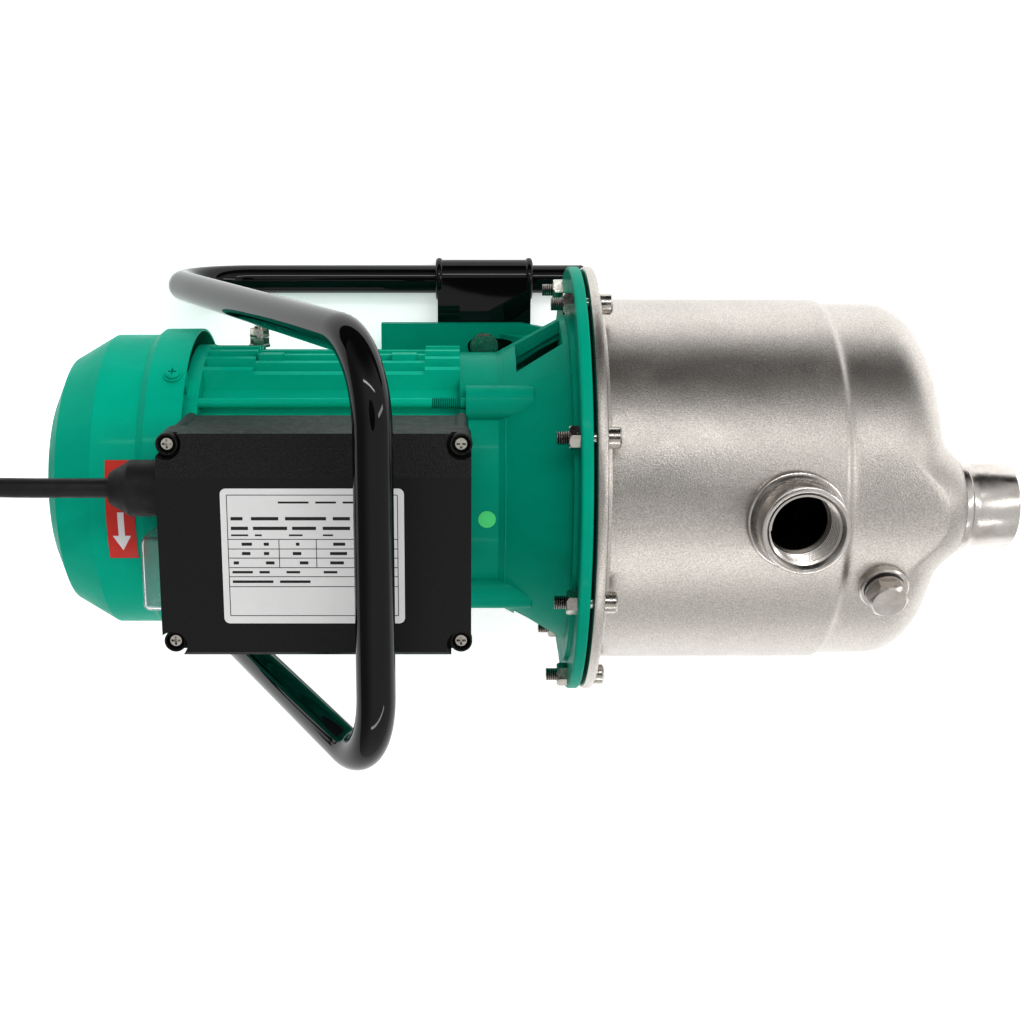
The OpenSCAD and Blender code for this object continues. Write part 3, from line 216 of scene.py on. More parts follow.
class Finish:
    """A node material whose patterns lie on the piece's own coordinates."""

    def __init__(self, name, colour, roughness, metallic=0.0, **constants):
        plain = bpy.data.materials.get(name)   # the frame's own material of that name
        if plain:
            plain.name = name + "_plain"
        self.mat = bpy.data.materials.new(name)
        self.mat.use_nodes = True
        self.nodes = self.mat.node_tree.nodes
        self.links = self.mat.node_tree.links
        self.shader = self.nodes["Principled BSDF"]
        self.colour = (*colour, 1)
        self.shader.inputs["Base Color"].default_value = self.colour
        self.shader.inputs["Roughness"].default_value = roughness
        self.shader.inputs["Metallic"].default_value = metallic
        for key, value in constants.items():
            self.shader.inputs[key.replace("_", " ")].default_value = value
        self.coords = self.add("ShaderNodeTexCoord").outputs["Object"]
        self.normal = None
        self.mat.diffuse_color = self.colour

    def add(self, kind, **settings):
        """A new node of a kind."""
        node = self.nodes.new(kind)
        for key, value in settings.items():
            setattr(node, key, value)
        return node

    def feed(self, node, socket, value):
        """Links a socket into a node's input, or sets the input to a number."""
        if isinstance(value, bpy.types.NodeSocket):
            self.links.new(value, node.inputs[socket])
        else:
            node.inputs[socket].default_value = value

    def stretched(self, scale):
        """The coordinates, stretched."""
        mapping = self.add("ShaderNodeMapping", vector_type="TEXTURE")
        mapping.inputs["Scale"].default_value = scale
        self.links.new(self.coords, mapping.inputs["Vector"])
        return mapping.outputs["Vector"]

    def noise(self, scale, detail=3.0, roughness=0.5, vector=None):
        """Clouds of noise; the scale counts them along a metre."""
        node = self.add("ShaderNodeTexNoise")
        node.inputs["Scale"].default_value = scale
        node.inputs["Detail"].default_value = detail
        node.inputs["Roughness"].default_value = roughness
        self.links.new(vector or self.coords, node.inputs["Vector"])
        return node.outputs["Fac"]

    def cells(self, scale):
        """Distance to the middle of the nearest cell."""
        node = self.add("ShaderNodeTexVoronoi")
        node.inputs["Scale"].default_value = scale
        self.links.new(self.coords, node.inputs["Vector"])
        return node.outputs["Distance"]

    def mapped(self, value, low, high, out_low=0.0, out_high=1.0):
        """Brings a range of values onto another, and holds it there."""
        node = self.add("ShaderNodeMapRange")
        for key, number in (("From Min", low), ("From Max", high),
                            ("To Min", out_low), ("To Max", out_high)):
            node.inputs[key].default_value = number
        self.links.new(value, node.inputs["Value"])
        return node.outputs["Result"]

    def maths(self, operation, a, b=0.0):
        """One step of arithmetic on sockets or numbers."""
        node = self.add("ShaderNodeMath", operation=operation)
        self.feed(node, 0, a)
        self.feed(node, 1, b)
        return node.outputs["Value"]

    def axis(self, name):
        """One of the piece's own coordinates."""
        node = self.add("ShaderNodeSeparateXYZ")
        self.links.new(self.coords, node.inputs["Vector"])
        return node.outputs[name]

    def tint(self, amount, colour):
        """Mixes another colour over what the base colour has so far."""
        node = self.add("ShaderNodeMix", data_type="RGBA")
        base = self.shader.inputs["Base Color"]
        before = base.links[0].from_socket if base.links else None
        self.links.new(amount, node.inputs["Factor"])
        if before:
            self.links.new(before, node.inputs[6])
        else:
            node.inputs[6].default_value = self.colour
        node.inputs[7].default_value = (*colour, 1)
        self.links.new(node.outputs[2], base)
        return self

    def rough(self, value, low, high, out_low, out_high):
        """Varies the roughness."""
        self.links.new(self.mapped(value, low, high, out_low, out_high),
                       self.shader.inputs["Roughness"])
        return self

    def bump(self, height, strength, distance):
        """Adds relief on top of what the piece has so far."""
        node = self.add("ShaderNodeBump")
        node.inputs["Strength"].default_value = strength
        node.inputs["Distance"].default_value = distance
        self.links.new(height, node.inputs["Height"])
        if self.normal:
            self.links.new(self.normal, node.inputs["Normal"])
        self.normal = node.outputs["Normal"]
        self.links.new(self.normal, self.shader.inputs["Normal"])
        return self


def blasted_sheet(looks):
    """Bead-blasted stainless sheet: a fine sparkling grain and soft clouds."""
    f = Finish("blasted_sheet", looks.sheet_colour, 0.36, 1.0)
    clouds = f.noise(9, 3, 0.55, f.stretched((2.2, 1, 1)))
    grain = f.noise(1500, 2, 0.7)
    f.tint(f.mapped(clouds, 0.3, 0.75), tuple(c * 0.86 for c in looks.sheet_colour))
    f.tint(f.mapped(grain, 0.38, 0.62, 0.42, 0.0), (0.20, 0.185, 0.165))
    f.rough(f.noise(60, 4, 0.6), 0.3, 0.7, 0.29, 0.38)
    f.bump(grain, 0.55, 0.00026)
    f.bump(f.noise(130, 3), 0.10, 0.0004)


def turned_steel(looks):
    """Turned and welded stainless: brighter, with a fine grain and stains."""
    f = Finish("turned_steel", (0.66, 0.63, 0.60), 0.24, 1.0)
    f.tint(f.mapped(f.noise(70, 4, 0.6), 0.45, 0.75, 0.0, 0.6), (0.42, 0.37, 0.31))
    f.rough(f.noise(160, 3), 0.3, 0.7, 0.17, 0.32)
    f.bump(f.noise(900, 2, 0.6), 0.16, 0.00015)


def zinc_steel(looks, name="zinc_steel", thread_to=None):
    """Zinc-plated steel; a bolt also gets its thread, up to the given place along X."""
    f = Finish(name, (0.60, 0.575, 0.53), 0.24, 1.0)
    f.tint(f.mapped(f.noise(220, 3), 0.45, 0.8, 0.0, 0.7), (0.32, 0.29, 0.25))
    f.rough(f.noise(400, 3), 0.3, 0.7, 0.16, 0.32)
    f.bump(f.noise(1200, 2), 0.12, 0.0001)
    if thread_to is not None:
        # The near-black groove colour is painted shade
        thread_ridges(f, -1.0, thread_to, 0.0010, (0.05, 0.045, 0.04))


def thread_ridges(f, x_from, x_to, pitch, groove_shade_colour):
    """Rings of a screw thread between two places along X, with painted shade darkening the
    grooves.
    """
    x = f.axis("X")
    ridge = f.maths("SINE", f.maths("MULTIPLY", x, 2 * math.pi / pitch))
    inside = f.maths("MULTIPLY", f.maths("GREATER_THAN", x, x_from),
                     f.maths("LESS_THAN", x, x_to))
    # Painted shade: the grooves are darkened, since the bump gives them no depth
    groove = f.maths("MULTIPLY", f.mapped(ridge, 0.2, -0.9), inside)
    f.tint(groove, groove_shade_colour)
    f.bump(f.maths("MULTIPLY", ridge, inside), 0.8, 0.0005)


def green_enamel(looks, name="green_enamel", share=1.0, threads=None):
    """Semi-gloss enamel with a slight orange peel over cast metal; a share below one darkens
    the colour as painted shade.
    """
    # A share below one darkens the colour: painted shade
    colour = tuple(c * share for c in looks.enamel_colour)
    f = Finish(name, colour, 0.42, 0.0,
               Specular_IOR_Level=0.03, Coat_Weight=0.06, Coat_Roughness=0.08)
    f.tint(f.mapped(f.noise(26, 4, 0.6), 0.4, 0.8, 0.0, 0.5), tuple(c * 0.74 for c in colour))
    f.rough(f.noise(90, 3), 0.3, 0.7, 0.30, 0.44)
    f.bump(f.noise(420, 2, 0.5), 0.26, 0.00028)
    f.bump(f.noise(55, 2), 0.12, 0.0006)
    if threads:
        # The grooves are darkened to a quarter of the green as painted shade
        thread_ridges(f, *threads, 0.0009, tuple(c * 0.25 for c in colour))


def black_enamel(looks):
    """Black enamel under a clear gloss."""
    f = Finish("black_enamel", looks.frame_colour, 0.30, 0.0,
               Specular_IOR_Level=0.0, Coat_Weight=0.95, Coat_Roughness=0.03)
    f.tint(f.mapped(f.noise(40, 3), 0.45, 0.8, 0.0, 0.5), (0.007, 0.007, 0.0075))
    f.rough(f.noise(120, 3), 0.3, 0.7, 0.24, 0.36)
    f.bump(f.noise(160, 2), 0.03, 0.0002)


def black_plastic(looks):
    """Moulded plastic; the grain is coarser on the sloping edge of the box."""
    f = Finish("black_plastic", looks.plastic_colour, 0.40, 0.0, Specular_IOR_Level=0.28)
    fine = f.noise(1400, 2, 0.6)
    coarse = f.cells(1500)
    slope = f.mapped(f.axis("Y"), 0.0300, 0.0312)
    f.tint(f.mapped(f.noise(1100, 2), 0.56, 0.72, 0.0, 0.2), (0.035, 0.035, 0.035))
    grit = f.mapped(coarse, 0.55, 0.15, 0.0, 0.4)
    f.tint(f.maths("MULTIPLY", grit, slope), (0.06, 0.057, 0.054))
    f.rough(f.noise(300, 3), 0.3, 0.7, 0.34, 0.48)
    f.bump(f.maths("MULTIPLY", coarse, slope), 0.7, 0.0004)
    f.bump(fine, 0.25, 0.0002)


def soft_black(name, colour, roughness, grain):
    """Matt rubber and soft mouldings."""
    f = Finish(name, colour, roughness)
    f.tint(f.mapped(f.noise(90, 4), 0.4, 0.8, 0.0, 0.7), tuple(c * 1.9 for c in colour))
    f.rough(f.noise(250, 3), 0.3, 0.7, roughness - 0.07, roughness + 0.08)
    f.bump(f.noise(grain, 2), 0.22, 0.0002)


def clear_plastic(looks):
    """Clear plastic with faint waves."""
    f = Finish("clear_plastic", (0.92, 0.96, 0.96), 0.07, 0.0, IOR=1.45,
               Transmission_Weight=0.92)
    f.rough(f.noise(120, 3), 0.3, 0.7, 0.06, 0.16)
    f.bump(f.noise(90, 2), 0.12, 0.0005)


def plain_gloss(name, colour, roughness, mottle=0.8, scale=120, coat=0.3):
    """Smooth mouldings and films, a little uneven in tone."""
    f = Finish(name, colour, roughness, 0.0, Coat_Weight=coat, Coat_Roughness=0.12)
    spots = tuple(c * mottle for c in colour)
    f.tint(f.mapped(f.noise(scale, 3), 0.35, 0.8, 0.0, 0.6), spots)
    f.rough(f.noise(scale * 3, 3), 0.3, 0.7, roughness - 0.05, roughness + 0.06)
    f.bump(f.noise(scale * 6, 2), 0.06, 0.0002)


def metal(name, colour, roughness, dull, scale=200, metallic=1.0):
    """Other metals: even metal with stains and a fine surface."""
    f = Finish(name, colour, roughness, metallic)
    f.tint(f.mapped(f.noise(scale, 4, 0.6), 0.42, 0.8, 0.0, 0.8), dull)
    f.rough(f.noise(scale * 2, 3), 0.3, 0.7, roughness - 0.05, roughness + 0.08)
    f.bump(f.noise(scale * 6, 2), 0.12, 0.00015)


def label_foil(looks):
    """Matt silver foil of the rating plate."""
    f = Finish("label_foil", (0.76, 0.76, 0.755), 0.42, 0.25)
    f.tint(f.mapped(f.noise(35, 3), 0.35, 0.8, 0.0, 0.5), (0.66, 0.66, 0.66))
    f.rough(f.noise(500, 2), 0.3, 0.7, 0.36, 0.5)
    f.bump(f.noise(180, 2), 0.05, 0.0003)


# ---- properties ----

class JetPumpLooks(bpy.types.PropertyGroup):
    """Colours of the main finishes."""
    sheet_colour: bpy.props.FloatVectorProperty(
        name="Steel sheet", description="Colour of the blasted stainless sheet",
        subtype="COLOR", size=3, min=0, max=1, default=(0.72, 0.685, 0.645))
    enamel_colour: bpy.props.FloatVectorProperty(
        name="Motor enamel", description="Colour of the enamel on motor and lantern",
        subtype="COLOR", size=3, min=0, max=1, default=(0.001, 0.47, 0.325))
    frame_colour: bpy.props.FloatVectorProperty(
        name="Frame enamel", description="Colour of the carrying frame",
        subtype="COLOR", size=3, min=0, max=1, default=(0.003, 0.003, 0.003))
    plastic_colour: bpy.props.FloatVectorProperty(
        name="Box plastic", description="Colour of the terminal box",
        subtype="COLOR", size=3, min=0, max=1, default=(0.013, 0.013, 0.013))


class JetPumpSizes(bpy.types.PropertyGroup):
    """Sizes of the pieces that are added round the frame."""
    tube_radius: bpy.props.FloatProperty(
        name="Frame tube radius", description="Outer radius of the carrying frame's tube",
        subtype="DISTANCE", unit="LENGTH", default=0.008, min=0.006, max=0.008)
    tube_bend: bpy.props.FloatProperty(
        name="Frame bend radius", description="Radius of the tube's bends at its middle",
        subtype="DISTANCE", unit="LENGTH", default=0.035, min=0.03, max=0.04)
    thread_pitch: bpy.props.FloatProperty(
        name="Port thread pitch", description="Pitch of the one-inch pipe thread",
        subtype="DISTANCE", unit="LENGTH", default=0.002309, min=0.001, max=0.004)
    cord_diameter: bpy.props.FloatProperty(
        name="Cord diameter", description="Diameter of the rubber cord",
        subtype="DISTANCE", unit="LENGTH", default=0.009, min=0.006, max=0.01)
    cord_length: bpy.props.FloatProperty(
        name="Cord length", description="Length of the cord from gland to plug",
        subtype="DISTANCE", unit="LENGTH", default=1.42, min=1.0, max=3.0)
    print_line: bpy.props.FloatProperty(
        name="Print line", description="Width of the ruled lines on the rating plate",
        subtype="DISTANCE", unit="LENGTH", default=0.0003, min=0.0001, max=0.001)


# ---- operators ----

class PUMP_OT_camera(bpy.types.Operator):
    """Sets up the camera above the pump"""
    bl_idname = "pump.camera"
    bl_label = "Camera"

    def execute(self, context):
        clear_selection()
        bpy.ops.object.camera_add(
            location=CAMERA_PLACE, rotation=(CAMERA_LEAN, 0, 0))
        camera = context.object
        camera.data.lens = CAMERA_LENS
        camera.data.sensor_width = 36
        camera.data.shift_x = CAMERA_SHIFT_X
        camera.data.clip_start = 0.01
        context.scene.camera = camera
        return {"FINISHED"}


# The cord's way from the gland down to the floor, in millimetres
CORD_RUN = [
    (-186.4, 17, 222.5), (-206, 17, 222.5), (-226, 17, 222.2), (-244, 17, 220.5),
    (-262, 17, 216), (-279, 17, 208), (-294, 17, 196), (-306, 17, 180), (-315, 17, 161),
    (-321, 17, 140), (-325, 17, 118), (-327, 17, 96), (-328, 17, 74), (-329, 17, 54),
    (-332, 17, 36), (-339, 17, 21), (-351, 17, 10),
]
LEAD_RUN = [
    (-445.2, -58, 13.5), (-443.4, -74, 14.2), (-442.4, -90, 16.6), (-442, -106, 19),
]
COIL_MIDDLE = (-394, -33)
COIL_START = (57.3, 60.75)   # radius in millimetres and angle in degrees
COIL_PITCH = 9.05
COIL_CLIMB = 1.85            # turns after which the coil winds outwards again
COIL_TURNS = 3 + 127.3 / 360
LAYERS = (5.0, 13.9)         # heights of the cord's middle in the coil's two layers
COIL_STEPS = 16              # points for each turn
TIE_ANGLE = math.radians(20)
TIE_MIDDLE = (49, 9.85)      # distance from the coil's middle, and height


def coil_run():
    """The coil's centreline: inwards on the floor, up, and outwards on the first layer."""
    points = []
    steps = int(COIL_TURNS * COIL_STEPS)
    for i in range(steps + 1):
        t = COIL_TURNS * i / steps
        inner = COIL_START[0] - COIL_PITCH * COIL_CLIMB
        r = COIL_START[0] - COIL_PITCH * t if t < COIL_CLIMB else (
            inner + COIL_PITCH * (t - COIL_CLIMB))
        rise = min(1, max(0, (t - COIL_CLIMB + 0.10) / 0.25))
        z = LAYERS[0] + (LAYERS[1] - LAYERS[0]) * rise * rise * (3 - 2 * rise)
        a = math.radians(COIL_START[1] + 360 * t)
        x, y = COIL_MIDDLE
        points.append((x + r * math.cos(a), y + r * math.sin(a), z))
    return points


class PUMP_OT_power_cord(bpy.types.Operator):
    """Lays the rubber cord from the gland to the plug, with its spare length coiled"""
    bl_idname = "pump.power_cord"
    bl_label = "Power cord"

    def execute(self, context):
        sizes = context.scene.jet_pump_sizes
        route = [mm(*p) for p in CORD_RUN + coil_run() + LEAD_RUN]
        data = bpy.data.curves.new("rubber_cord", "CURVE")
        data.dimensions = "3D"
        data.bevel_depth = sizes.cord_diameter / 2
        data.bevel_resolution = 5
        data.resolution_u = 5
        data.use_fill_caps = True
        spline = data.splines.new("BEZIER")
        spline.bezier_points.add(len(route) - 1)
        for point, place in zip(spline.bezier_points, route):
            point.co = place
            point.handle_left_type = point.handle_right_type = "AUTO"
        cord = bpy.data.objects.new("rubber_cord", data)
        context.scene.collection.objects.link(cord)
        data.materials.append(bpy.data.materials["cord_rubber"])
        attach(cord, UNIT)
        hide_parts("power_cord", "cord_coil", "plug_lead")

        along = Vector((-math.sin(TIE_ANGLE), math.cos(TIE_ANGLE), 0))
        away, height = TIE_MIDDLE
        middle = mm(COIL_MIDDLE[0] + away * math.cos(TIE_ANGLE),
                    COIL_MIDDLE[1] + away * math.sin(TIE_ANGLE), height)
        tie = start_ring("cord_tie", middle, 0.0125, along, 40)
        bpy.ops.transform.resize(value=(1, 1, 0.78), center_override=middle)
        bpy.ops.transform.translate(value=along * -0.007)
        for _ in range(4):
            extrude_by(along * 0.0035)
        outwards()
        bpy.ops.object.mode_set(mode="OBJECT")
        modify(tie, "SOLIDIFY", thickness=0.0006, offset=-1)
        finish_mesh(tie)
        place_on(tie, UNIT, "soft_black_rubber")

        return {"FINISHED"}


def studio_sky(scene):
    """Even light all round, fading to dark low behind the pump and a little to its left."""
    world = bpy.data.worlds.new("studio")
    scene.world = world
    world.use_nodes = True
    nodes, links = world.node_tree.nodes, world.node_tree.links
    where = nodes.new("ShaderNodeTexCoord").outputs["Generated"]
    split = nodes.new("ShaderNodeSeparateXYZ")
    links.new(where, split.inputs["Vector"])
    level = None
    for name, low, high, dark in SKY_FADES:
        fade = nodes.new("ShaderNodeMapRange")
        fade.interpolation_type = "SMOOTHSTEP"
        fade.inputs["From Min"].default_value = low
        fade.inputs["From Max"].default_value = high
        fade.inputs["To Min"].default_value = 1.0
        fade.inputs["To Max"].default_value = dark
        links.new(split.outputs[name], fade.inputs["Value"])
        if level is None:
            level = fade.outputs["Result"]
        else:
            both = nodes.new("ShaderNodeMath")
            both.operation = "MULTIPLY"
            links.new(level, both.inputs[0])
            links.new(fade.outputs["Result"], both.inputs[1])
            level = both.outputs["Value"]
    strength = nodes.new("ShaderNodeMath")
    strength.operation = "MULTIPLY"
    strength.inputs[1].default_value = SKY_LEVEL
    links.new(level, strength.inputs[0])
    sky = nodes["Background"]
    sky.inputs["Color"].default_value = (1, 1, 1, 1)
    links.new(strength.outputs["Value"], sky.inputs["Strength"])


class PUMP_OT_stage(bpy.types.Operator):
    """Makes the floor, the dark card behind the pump, the lights and the sky"""
    bl_idname = "pump.stage"
    bl_label = "Stage"

    def execute(self, context):
        clear_selection()
        bpy.ops.mesh.primitive_plane_add(size=8, location=(0, 0, 0))
        floor = context.object
        floor.name = "floor"
        f = Finish("floor_paper", (0.93, 0.93, 0.93), 0.9, 0.0,
                   Emission_Color=(1, 1, 1, 1), Emission_Strength=0.45)
        f.tint(f.mapped(f.noise(1.5, 2), 0.3, 0.8, 0.0, 0.5), (0.90, 0.90, 0.90))
        floor.data.materials.append(f.mat)
        bpy.ops.mesh.primitive_plane_add(
            size=1, location=(0.05, 0.62, 0.13), rotation=(math.radians(90), 0, 0))
        card = context.object
        card.name = "dark_card"
        card.scale = (2.2, 0.26, 1)
        f = Finish("card_black", (0.01, 0.01, 0.01), 0.9)
        card.data.materials.append(f.mat)
        clear_selection()
        bpy.ops.mesh.primitive_circle_add(
            vertices=48, radius=0.30, fill_type="NGON", location=(0.05, 0.26, 1.35))
        hood = context.object
        hood.name = "dark_hood"
        hood.data.materials.append(f.mat)
        for piece in (card, hood):
            piece.visible_camera = False
            piece.visible_diffuse = False
            piece.visible_shadow = False
        for name, place, size, power, aim in LIGHTS:
            data = bpy.data.lights.new(name, "AREA")
            data.shape = "RECTANGLE"
            data.size, data.size_y = size
            data.energy = power
            light = bpy.data.objects.new(name, data)
            light.location = place
            back = Vector(place) - Vector(aim)
            light.rotation_euler = back.to_track_quat("Z", "Y").to_euler()
            light.visible_glossy = name != "diffuse_fill"
            context.scene.collection.objects.link(light)
        studio_sky(context.scene)
        context.scene.view_settings.view_transform = "Standard"
        context.scene.view_settings.gamma = CONTRAST_GAMMA
        return {"FINISHED"}


# Which finish each node of the frame gets, by its slot in the record
SLOT_FINISH = {
    "stainless_sheet": "blasted_sheet", "stainless_turned": "turned_steel",
    "zinc_steel": "zinc_steel", "green_enamel": "green_enamel",
    "black_enamel": "black_enamel", "black_plastic": "black_plastic",
    "black_rubber": "soft_black_rubber", "clear_plastic": "clear_plastic",
    "red_plastic": "red_plastic", "label_foil": "label_foil", "label_red": "label_red",
    "label_green": "label_green", "seal_ceramic": "seal_ceramic", "carbon": "carbon",
    "pump_resin": "pump_resin", "brass": "brass", "core_steel": "core_steel",
    "copper_wire": "copper_wire", "shaft_steel": "shaft_steel",
    "bearing_steel": "bearing_steel", "aluminium_can": "aluminium_can",
    "ivory_plastic": "ivory_plastic", "cord_rubber": "cord_rubber", "pin_nickel": "pin_nickel",
}


# Nodes with a finish of their own; the lantern's is the green enamel darkened as painted shade
NODE_FINISH = {
    "flange_screws": "bolt_steel", "lantern": "shaded_cast_enamel", "tie_bolts": "rod_enamel",
}


class PUMP_OT_finishes(bpy.types.Operator):
    """Mixes every finish and puts it on the nodes of the frame"""
    bl_idname = "pump.finishes"
    bl_label = "Finishes"

    def execute(self, context):
        looks = context.scene.jet_pump_looks
        for make in (blasted_sheet, turned_steel, zinc_steel, green_enamel, black_enamel,
                     black_plastic, clear_plastic, label_foil):
            make(looks)
        zinc_steel(looks, "bolt_steel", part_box("flange_screws")[0].x + 0.0078)
        # The lantern's copy is darkened to 0.74 of the green as painted shade on its cone
        green_enamel(looks, "shaded_cast_enamel", 0.74)
        green_enamel(looks, "rod_enamel", 1.0, (-0.0435, -0.0300))
        soft_black("soft_black_rubber", (0.013, 0.013, 0.013), 0.55, 900)
        soft_black("cord_rubber", (0.011, 0.011, 0.011), 0.48, 700)
        soft_black("carbon", (0.03, 0.03, 0.031), 0.5, 1200)
        plain_gloss("red_plastic", (0.60, 0.02, 0.015), 0.22)
        plain_gloss("label_red", (0.66, 0.025, 0.012), 0.38, 0.85, 60, 0.1)
        plain_gloss("label_white", (0.82, 0.82, 0.82), 0.4, 0.9, 60, 0.1)
        plain_gloss("label_green", (0.10, 0.76, 0.26), 0.4, 0.85, 200, 0.1)
        plain_gloss("print_black", (0.02, 0.02, 0.02), 0.5, 0.8, 300, 0.0)
        plain_gloss("seal_ceramic", (0.78, 0.75, 0.68), 0.2)
        plain_gloss("pump_resin", (0.050, 0.038, 0.026), 0.42)
        plain_gloss("ivory_plastic", (0.74, 0.69, 0.56), 0.4)
        metal("brass", (0.68, 0.48, 0.20), 0.28, (0.38, 0.24, 0.09))
        metal("core_steel", (0.20, 0.21, 0.23), 0.45, (0.09, 0.07, 0.06), 90, 0.8)
        metal("copper_wire", (0.58, 0.25, 0.10), 0.35, (0.28, 0.10, 0.04), 150, 0.9)
        metal("shaft_steel", (0.60, 0.60, 0.61), 0.22, (0.40, 0.39, 0.38))
        metal("bearing_steel", (0.72, 0.72, 0.73), 0.12, (0.5, 0.5, 0.5))
        metal("aluminium_can", (0.74, 0.74, 0.75), 0.34, (0.55, 0.55, 0.56))
        metal("pin_nickel", (0.70, 0.68, 0.63), 0.18, (0.5, 0.47, 0.42))
        slots = {s["node"]: s["material_slot"] for s in frame["record"]["subparts"]}
        clear_selection()
        for name, node in frame["nodes"].items():
            node.data.materials.clear()
            finish = NODE_FINISH.get(name, SLOT_FINISH[slots[name]])
            node.data.materials.append(bpy.data.materials[finish])
        return {"FINISHED"}


class PUMP_OT_carry_frame(bpy.types.Operator):
    """Bends the carrying frame from one length of tube"""
    bl_idname = "pump.carry_frame"
    bl_label = "Carrying frame"

    corners = [
        (38.6, 92.5, 8), (-203, 92.5, 8), (-64.3, 92.5, 302.5), (-64.3, -86.5, 302.5),
        (-203, -86.5, 8), (38.6, -86.5, 8),
    ]

    def execute(self, context):
        sizes = context.scene.jet_pump_sizes
        corners = [mm(*c) for c in self.corners]
        ways = [(b - a).normalized() for a, b in zip(corners, corners[1:])]
        here = corners[0]
        tube = start_ring("frame_tube", here, sizes.tube_radius, ways[0], 40)
        for corner, way, after in zip(corners[1:], ways, ways[1:]):
            turn = way.angle(after)
            start = corner - way * sizes.tube_bend * math.tan(turn / 2)
            for _ in range(6):
                extrude_by((start - here) / 6)
            axis = way.cross(after).normalized()
            middle = start + axis.cross(way) * sizes.tube_bend
            bpy.ops.mesh.spin(steps=18, angle=-turn, center=middle, axis=axis)
            here = corner + after * sizes.tube_bend * math.tan(turn / 2)
        for _ in range(6):
            extrude_by((corners[-1] - here) / 6)
        bpy.ops.mesh.select_all(action="SELECT")
        bpy.ops.mesh.remove_doubles(threshold=WELD)
        outwards()
        bpy.ops.object.mode_set(mode="OBJECT")
        modify(tube, "SOLIDIFY", thickness=0.0015, offset=-1)
        finish_mesh(tube)
        place_on(tube, UNIT, "black_enamel", ["carry_frame"])
        return {"FINISHED"}


def threaded_socket(name, base, axis, height, collar, neck_start, pitch):
    """A port socket with its collar, chamfered mouth and inside pipe thread."""
    bore, major, outer = 0.01515, 0.0164, 0.020
    collar_r, collar_h = collar
    profile = [
        (major, neck_start), (collar_r, neck_start), (collar_r, collar_h - 0.001),
        (collar_r - 0.0003, collar_h - 0.0004), (collar_r - 0.001, collar_h),
        (outer + 0.0016, collar_h), (outer + 0.0006, collar_h + 0.0009),
        (outer + 0.0001, collar_h + 0.0028), (outer, collar_h + 0.0042),
        (outer, height - 0.0009), (outer - 0.0003, height - 0.0003), (outer - 0.0009, height),
        (0.0178, height), (0.0176, height - 0.0001), (major, height - 0.0016),
        (major, neck_start),
    ]
    socket = turned(name, base, axis, profile, 96, close=True)
    finish_mesh(socket, 30)
    axis = Vector(axis)
    turns = int((height - 0.004 - max(neck_start, 0)) / pitch)
    clear_selection()
    bpy.ops.mesh.primitive_plane_add(size=0.001, location=(0, 0, 0))
    thread = named_piece("thread")
    bpy.ops.object.mode_set(mode="EDIT")
    bpy.ops.transform.rotate(value=math.radians(90), orient_axis="X", center_override=(0, 0, 0))
    bpy.ops.object.mode_set(mode="OBJECT")
    for vertex in thread.data.vertices:
        inner = vertex.co.x < 0
        half = pitch * (0.14 if inner else 0.47)
        vertex.co = Vector((bore if inner else major + 0.0002, 0,
                            half if vertex.co.z > 0 else -half))
    modify(thread, "SCREW", angle=math.radians(360), screw_offset=pitch, iterations=turns,
           steps=72, render_steps=72, axis="Z")
    turn = Matrix.Translation(Vector(base) + axis * (height - 0.0024 - turns * pitch)) @ (
        axis.to_track_quat("Z", "Y").to_matrix().to_4x4())
    thread.matrix_world = turn
    bpy.ops.object.mode_set(mode="EDIT")
    bpy.ops.mesh.select_all(action="SELECT")
    bpy.ops.mesh.remove_doubles(threshold=WELD)
    bpy.ops.mesh.select_all(action="DESELECT")
    bpy.ops.mesh.select_non_manifold(extend=False)
    bpy.ops.mesh.fill_holes(sides=4)
    outwards()
    bpy.ops.object.mode_set(mode="OBJECT")
    finish_mesh(thread, 30)
    return join([socket, thread], name)


class PUMP_OT_port_sockets(bpy.types.Operator):
    """Turns the two port sockets and cuts their pipe threads"""
    bl_idname = "pump.port_sockets"
    bl_label = "Port sockets"

    def execute(self, context):
        pitch = context.scene.jet_pump_sizes.thread_pitch
        up, ahead = Vector((0, 0, 1)), Vector((1, 0, 0))
        seat = HOUSING_R + 0.0001
        discharge = threaded_socket(
            "outlet_socket", (DISCHARGE_X, 0, SHAFT_Z + seat), up,
            DISCHARGE_RISE - seat, (0.023, 0.003), -0.003, pitch)
        place_on(discharge, UNIT, "turned_steel", ["discharge_socket"])
        suction = threaded_socket(
            "inlet_socket", (SUCTION_X, 0, SHAFT_Z + SUCTION_RISE), ahead,
            0.024, (0.0226, 0.0016), -0.003, pitch)
        place_on(suction, UNIT, "turned_steel", ["suction_socket"])
        return {"FINISHED"}


def nose_reach(y, rise):
    """How far forward the nose swells at a point of its face, for the socket and the drain."""
    reach = 0
    for seat_rise, seat_x, flat, fade, fall in (
            (SUCTION_RISE, SUCTION_X, 0.020, 0.026, 0.042),
            (DRAIN_RISE, DRAIN_X, 0.011, 0.022, 0.045)):
        t = min(1, max(0, (math.hypot(y, rise - seat_rise) - flat) / fade))
        reach = max(reach, seat_x - fall * t * t * (3 - 2 * t))
    return reach


def soft_max(a, b, blend=0.004):
    """The greater of two lengths, blended where they are close."""
    return (a + b + math.sqrt((a - b) ** 2 + blend ** 2)) / 2


def cut_hole(piece, place, axis, radius, depth):
    """Drills a hole along an axis, from depth below a place to depth above it."""
    clear_selection()
    bpy.ops.mesh.primitive_cylinder_add(
        vertices=64, radius=radius, depth=2 * depth, location=place,
        rotation=Vector(axis).to_track_quat("Z", "Y").to_euler())
    drill = bpy.context.object
    modify(piece, "BOOLEAN", object=drill, operation="DIFFERENCE", solver="EXACT")
    bpy.data.objects.remove(drill)


